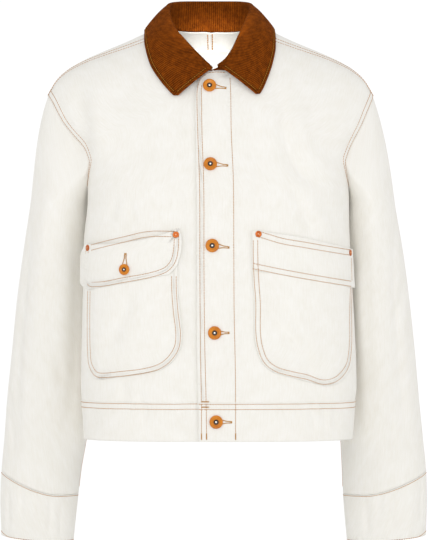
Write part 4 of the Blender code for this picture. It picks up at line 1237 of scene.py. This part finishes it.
# Bartacks at the ends of rows: their two ends, as seen. They lie on the hem band.
BARTACKS = (((-12.5, -551), (-12.5, -560)), ((-5.4, -551), (-5.4, -560)), ((35.3, -551), (35.3, -560)),
            ((-12.5, -506.5), (-2, -506.5)), ((-12.5, -514), (-2, -514)))
on_puff = FLAP_LIFT + POCKET + PUFF
holes = []
for i, (x, z, end_x, end_z) in enumerate(zip(*BUTTONS.values(), *HOLE_ENDS.values()), 1):
    lift = HEM_OUT if z < -500 else 0
    out = BUTTON_GAP + lift
    made = turned(f"button_disc_{i}", (x, z), out, BUTTON_RADIUS, DISC, amber)
    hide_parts(f"button_front_{i}")
    turned(f"button_post_{i}", (x, z), out, BUTTON_RADIUS, POST_END, nickel)
    # The button's middle is darkened by a disc of painted recess shade.
    turned(f"button_recess_shade_{i}", (x, z), out, BUTTON_RADIUS, RECESS_SHADE, recess_shade)
    holes += buttonhole((x, z), (end_x, end_z), lift + ON_CLOTH)
made = turned("flap_button_disc", FLAP_BUTTON, on_puff + 0.2, FLAP_BUTTON_RADIUS, DISC, amber)
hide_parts("button_flap")
turned("flap_button_post", FLAP_BUTTON, on_puff + 0.2, FLAP_BUTTON_RADIUS, POST_END, nickel)
turned("flap_button_recess_shade", FLAP_BUTTON, on_puff + 0.2, FLAP_BUTTON_RADIUS, RECESS_SHADE, recess_shade)
holes += buttonhole(FLAP_BUTTON, FLAP_HOLE_END, on_puff + ON_CLOTH)
for start, end in BARTACKS:
    ends = np.array((start, end))
    ahead = unit(ends[1] - ends[0])
    for at in np.arange(0, np.linalg.norm(ends[1] - ends[0]), 0.6):
        across = ends[0] + ahead * at + ((-0.9 * ahead[1], 0.9 * ahead[0]), (0.9 * ahead[1], -0.9 * ahead[0]))
        turn, level = below(across[:, 0], across[:, 1], HEM_OUT + ON_CLOTH)
        holes.append(on_body(turn, level, HEM_OUT + 0.4))
stitched("buttonholes", holes, hole_thread, width=0.55, pitch=100, length=100)

# ---- Rivets --------------------------------------------------------------------------------------------
# Copper rivets through the corners of the pocket mouths: a domed burr with the clipped post in its middle.
RIVETS = {"x": (-171.9, -48.4, 67.3, 195.9), "z": (-291, -272.4, -271.6, -297.8)}
RIVET_RADIUS = 4.4
BURR = ((0, 0), (0.94, 0), (1, 0.06), (1, 0.13), (0.93, 0.2), (0.78, 0.24), (0.62, 0.23), (0.5, 0.17),
        (0.42, 0.13), (0, 0.13))
POST = ((0.34, 0.1), (0.34, 0.26), (0.27, 0.34), (0.12, 0.38), (0, 0.385))
copper = plain("copper", "c9703a", 0.32, Metallic=1.0)
worn_copper = plain("worn copper", "e3a47c", 0.3, Metallic=1.0)
for i, (x, z) in enumerate(zip(*RIVETS.values()), 1):
    out = (FLAP_LIFT if x < 0 else BAND_LIFT) + POCKET + 0.1
    made = turned(f"rivet_burr_{i}", (x, z), out, RIVET_RADIUS, BURR, copper, steps=28)
    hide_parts(f"rivet_{i}")
    turned(f"rivet_post_{i}", (x, z), out, RIVET_RADIUS, POST, worn_copper, steps=20)

# ---- Camera, light and floor ---------------------------------------------------------------------------
scene = bpy.context.scene
camera_data = bpy.data.cameras.new("camera")
camera_data.sensor_fit = "HORIZONTAL"
camera_data.sensor_width = 36
PIXEL = 1.4
camera_data.lens = 36 * VIEW_DISTANCE / (428 * PIXEL)
camera_data.clip_end = 50
eye = (VIEW_X * MM, -VIEW_DISTANCE * MM, EYE_HEIGHT * MM)
scene.camera = placed("camera", camera_data, eye, (math.radians(90), 0, 0))
scene.view_settings.view_transform = "Standard"

ROOM = 0.8
BACKDROP = 1.04
OVERHEAD = 0.8
world = bpy.data.worlds.new("white studio")
world.use_nodes = True
scene.world = world
tree = world.node_tree
background = tree.nodes["Background"]
sky = tree.nodes.new("ShaderNodeTexCoord")
parts = tree.nodes.new("ShaderNodeSeparateXYZ")
tree.links.new(sky.outputs["Generated"], parts.inputs[0])
behind = ramp(tree, parts.outputs["Y"], -0.2, 0.75, ROOM, BACKDROP, "SMOOTHSTEP")
above = ramp(tree, parts.outputs["Z"], 0.1, 0.9, 1.0, OVERHEAD)
strength = maths(tree, "MULTIPLY", behind, above)
tree.links.new(strength, background.inputs["Strength"])
background.inputs["Color"].default_value = (1, 1, 1, 1)


# Square softboxes in metres and watts, each turned to the middle of the jacket.
AIM = (0, 0, -0.32)
SOFTBOXES = (
    ("softbox in front", (-0.35, -3.8, 0.1), 1.6, 30),
    ("softbox on the left", (-2.3, -2.5, 0.5), 1.4, 5),
    ("softbox on the right", (2.5, -2.3, 0.2), 1.4, 9),
)
for name, place, size, power in SOFTBOXES:
    data = bpy.data.lights.new(name, "AREA")
    data.size, data.energy = size, power
    direction = np.array(AIM, float) - np.array(place, float)
    yaw = math.atan2(direction[0], -direction[1])
    pitch = math.atan2(math.hypot(direction[0], direction[1]), -direction[2])
    placed(name, data, place, (pitch, 0, yaw + math.pi))
snoot = bpy.data.lights.new("snoot", "SPOT")
snoot.energy, snoot.shadow_soft_size = 190, 0.02
snoot.spot_size, snoot.spot_blend = math.radians(3.9), 0.6
placed("snoot", snoot, (0.0, -1.5, 0.62), (math.radians(90) - math.atan2(0.655, 1.6), 0, 0))

FLOOR = -0.86
floor_mesh = bpy.data.meshes.new("floor")
turns = np.linspace(0, 2 * np.pi, 64, endpoint=False)
rim = np.stack([np.cos(turns), np.sin(turns), np.full(64, FLOOR)], -1)
floor_mesh.from_pydata(rim.tolist(), [], [list(range(64))])
floor = placed("floor", floor_mesh)
floor_mesh.materials.append(plain("pale floor", "f2f2f0", 0.8))
